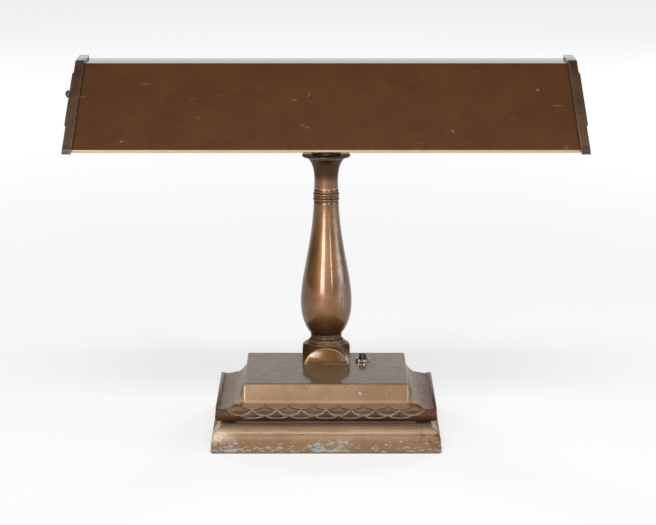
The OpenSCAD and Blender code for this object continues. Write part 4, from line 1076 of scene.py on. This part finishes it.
def make_cap(name, side):
    outer = section(0.35 - CAP_PROUD, CAP_LOW, 0.8, 3)
    body = leaning(name, outer, -CAP_WEB, 0.0, side)
    rim = outer + section(-0.15, CAP_LOW)[::-1]
    boolean(body, leaning("rim", rim, -CAP_RIM, -CAP_WEB + 0.6, side), "UNION")
    bead_loop = section(-CAP_PROUD, CAP_LOW, 0.8, 3) + section(1.5 - CAP_PROUD, CAP_LOW)[::-1]
    boolean(body, leaning("bead", bead_loop, -CAP_RIM - 0.5, -CAP_RIM + 0.55, side), "UNION")
    panel = section(PANEL_MARGIN, HEM_Z + 20)
    top = section(PANEL_MARGIN + 1.6, HEM_Z + 21.6)
    boolean(body, leaning("panel", panel, -1.0, PANEL_T, side, top), "UNION")
    axis = "X" if side > 0 else "-X"
    boss = [(0, 0), (5, 0), (5, 18.5), (0, 18.5)]
    boolean(body, lathe("boss", boss, 48, (side * (HOLDER_X + HOLDER_T), 0, CAP_SCREW_Z), axis), "UNION")
    hole = [(0, -40), (2.2, -40), (2.2, 0), (KNOB_R + 0.4, 0), (KNOB_R + 0.4, 6), (0, 6)]
    boolean(body, lathe("hole", hole, 48, (side * SEAT_X, 0, CAP_SCREW_Z), axis), "DIFFERENCE")
    return bevelled(body, 0.55, 2, 30.0, 18.0)


placed(make_shell(), "head", "shade_paint", shade_lacquer, "shade_shell")
placed(make_cap("cap_left", -1), "head", "bronze", cap_lacquer, "end_cap_left")
placed(make_cap("cap_right", 1), "head", "bronze", cap_lacquer, "end_cap_right")
shank = [(0, -20), (2, -20), (2, 0)]
knob_profile = (shank + [(KNOB_R - 0.4, 0), (KNOB_R, 0.5), (KNOB_R, 1.6)]
                + [(KNOB_R - 0.6, 2.1), (KNOB_R - 0.5, 2.6)]
                + arc(0, KNOB_H - 2.0, KNOB_R - 0.2, 3.2, 0, 90, 12)[:-1] + [(0, KNOB_H + 1.2)])
knob = lathe("knob", knob_profile, 64, (-SEAT_X, 0, CAP_SCREW_Z), "-X")
placed(knob, "head", "bronze", cap_lacquer, "cap_knob")
screw_profile = shank + [(3.3, 0), (3.5, 0.3)] + arc(0, 0.3, 3.5, 0.8, 0, 90, 8)[1:-1] + [(0, 1.1)]
screw = lathe("slotted_screw", screw_profile, 64, (SEAT_X, 0, CAP_SCREW_Z), "X")
slot = box("slot", (SEAT_X + 0.4, -0.45, CAP_SCREW_Z - 5), (SEAT_X + 3, 0.45, CAP_SCREW_Z + 5))
boolean(screw, slot, "DIFFERENCE")
placed(bevelled(screw, 0.12, 1), "head", "bronze", cap_lacquer, "cap_screw")

# -------- lamps and hinge nut
LAMP_Z, LAMP_Y, LAMP_HALF, LAMP_R, LAMP_CAP = HINGE_Z - 16, 38.0, 218.7, 12.7, 14.1
glass = lamp_glass()
glass_end = LAMP_HALF - LAMP_CAP
glass_half = (arc(LAMP_R - 1.5, glass_end - 1.5, 1.5, 1.5, 0, 60, 4)
              + [(LAMP_R - 0.7, glass_end), (LAMP_R - 0.7, glass_end + 12), (0, glass_end + 12)])
glass_profile = [(r, -x) for r, x in reversed(glass_half)] + glass_half
for word, side in (("front", -1), ("rear", 1)):
    tube = lathe("glass_" + word, glass_profile, 96, (0, side * LAMP_Y, LAMP_Z), "X")
    placed(tube, "lamp_" + word, "lamp_glass", glass, "tube_" + word)
hinge_nut = knurled("hinge_knurl", 7.0, 3.02, 5.0, 30, 0.4, (HINGE_NUT_X, 0, HINGE_Z), "X")
placed(hinge_nut, "head", "brass", brass, "hinge_nut")

# -------- floor, light and background
floor_data = bpy.data.meshes.new("floor")
floor_data.from_pydata([(-14, -8, 0), (14, -8, 0), (14, 20, 0), (-14, 20, 0)], [], [(0, 1, 2, 3)])
floor = new_object("floor", floor_data)
pale = Material("pale_floor")
pale.tone = pale.mix(pale.noise(400.0, 3.0), (0.54, 0.54, 0.54, 1), (0.57, 0.57, 0.57, 1))
# It glows more where the lamps don't reach it, so that it looks the same all over. Distances are in metres.
GLOW_NEAR, GLOW_FAR = 0.61, 0.82
away = pale.get("Value", "VectorMath", {0: pale.place}, operation="LENGTH")
glow = pale.rays("Camera", "Glossy", "Transmission") * pale.ramp(away, 0.8, 4.0, GLOW_NEAR, GLOW_FAR)
floor_data.materials.append(pale.finish(0.7, more={
    "Specular IOR Level": 0.0, "Emission Color": (1.0, 1.0, 1.0, 1.0), "Emission Strength": glow}))


def area_lamp(name, azimuth, elevation, distance, size, level, color=(1, 1, 1), glossy=True, diffuse=True):
    """A soft lamp aimed at the object. Level 1 lights a white surface that faces it to white."""
    turn, rise = radians(azimuth), radians(elevation)
    away = Vector((sin(turn) * cos(rise), -cos(turn) * cos(rise), sin(rise)))
    data = bpy.data.lights.new(name, "AREA")
    data.shape, data.size, data.size_y = "RECTANGLE", *size
    data.energy, data.color = level * (pi * distance) ** 2, color
    obj = new_object(name, data)
    obj.location = Vector((0, 0, 0.2)) + distance * away
    obj.rotation_euler = (-away).to_track_quat("-Z", "Y").to_euler()
    obj.visible_camera, obj.visible_glossy, obj.visible_diffuse = False, glossy, diffuse


# Azimuth 0 is the front, 90 the lamp's right
area_lamp("key", -18, 14, 3.2, (0.65, 1.3), 0.23, (1.0, 0.97, 0.93), glossy=False)
area_lamp("streak", -18, 8, 3.2, (1.05, 1.1), 0.50, (1.0, 0.98, 0.95), diffuse=False)
area_lamp("second", 28, 12, 3.2, (0.24, 1.0), 0.12, (1.0, 0.98, 0.95))
area_lamp("fill", 2, 14, 3.4, (1.6, 1.0), 0.05, glossy=False)
area_lamp("above", 0, 52, 2.6, (1.6, 0.6), 0.36)
area_lamp("right", 78, 10, 3.0, (1.3, 1.2), 0.22, (0.86, 0.93, 1.0))
area_lamp("left", -80, 8, 3.0, (0.6, 1.2), 0.05, glossy=False)
area_lamp("back_left", -140, 20, 3.2, (0.8, 1.2), 0.24, glossy=False)
area_lamp("back_right", 145, 20, 3.2, (0.8, 1.2), 0.24, glossy=False)

# The room is bright near the horizon, before and behind the object, and dim at its sides and overhead.
# Where the background shows, near the horizon, it is as white in metal and glass as it is to the camera.
world = bpy.data.worlds.new("studio")
bpy.context.scene.world = world
world.use_nodes = True
world.node_tree.nodes.clear()
room = Tree(world.node_tree)
x, y, z = room.split(room.get("Generated", "TexCoord"))
level = room.ramp(y, -0.35, -0.9, 0.10, 0.62) + room.ramp(y, 0.35, 0.9, 0.0, 0.30)
level = level * room.ramp(z, 0.15, 0.5, 1.0, 0.08)
glossy = room.rays("Glossy") * room.ramp(z, 0.2, 0.4, 1.0, 0.0) * room.ramp(abs(y), 0.82, 0.95)
strength = room.mix(room.rays("Camera", "Transmission") | glossy, level, 1.0, "FLOAT")
light = room.get("Background", "Background", {"Color": (1, 1, 1, 1), "Strength": strength})
room.node("OutputWorld", {"Surface": light})
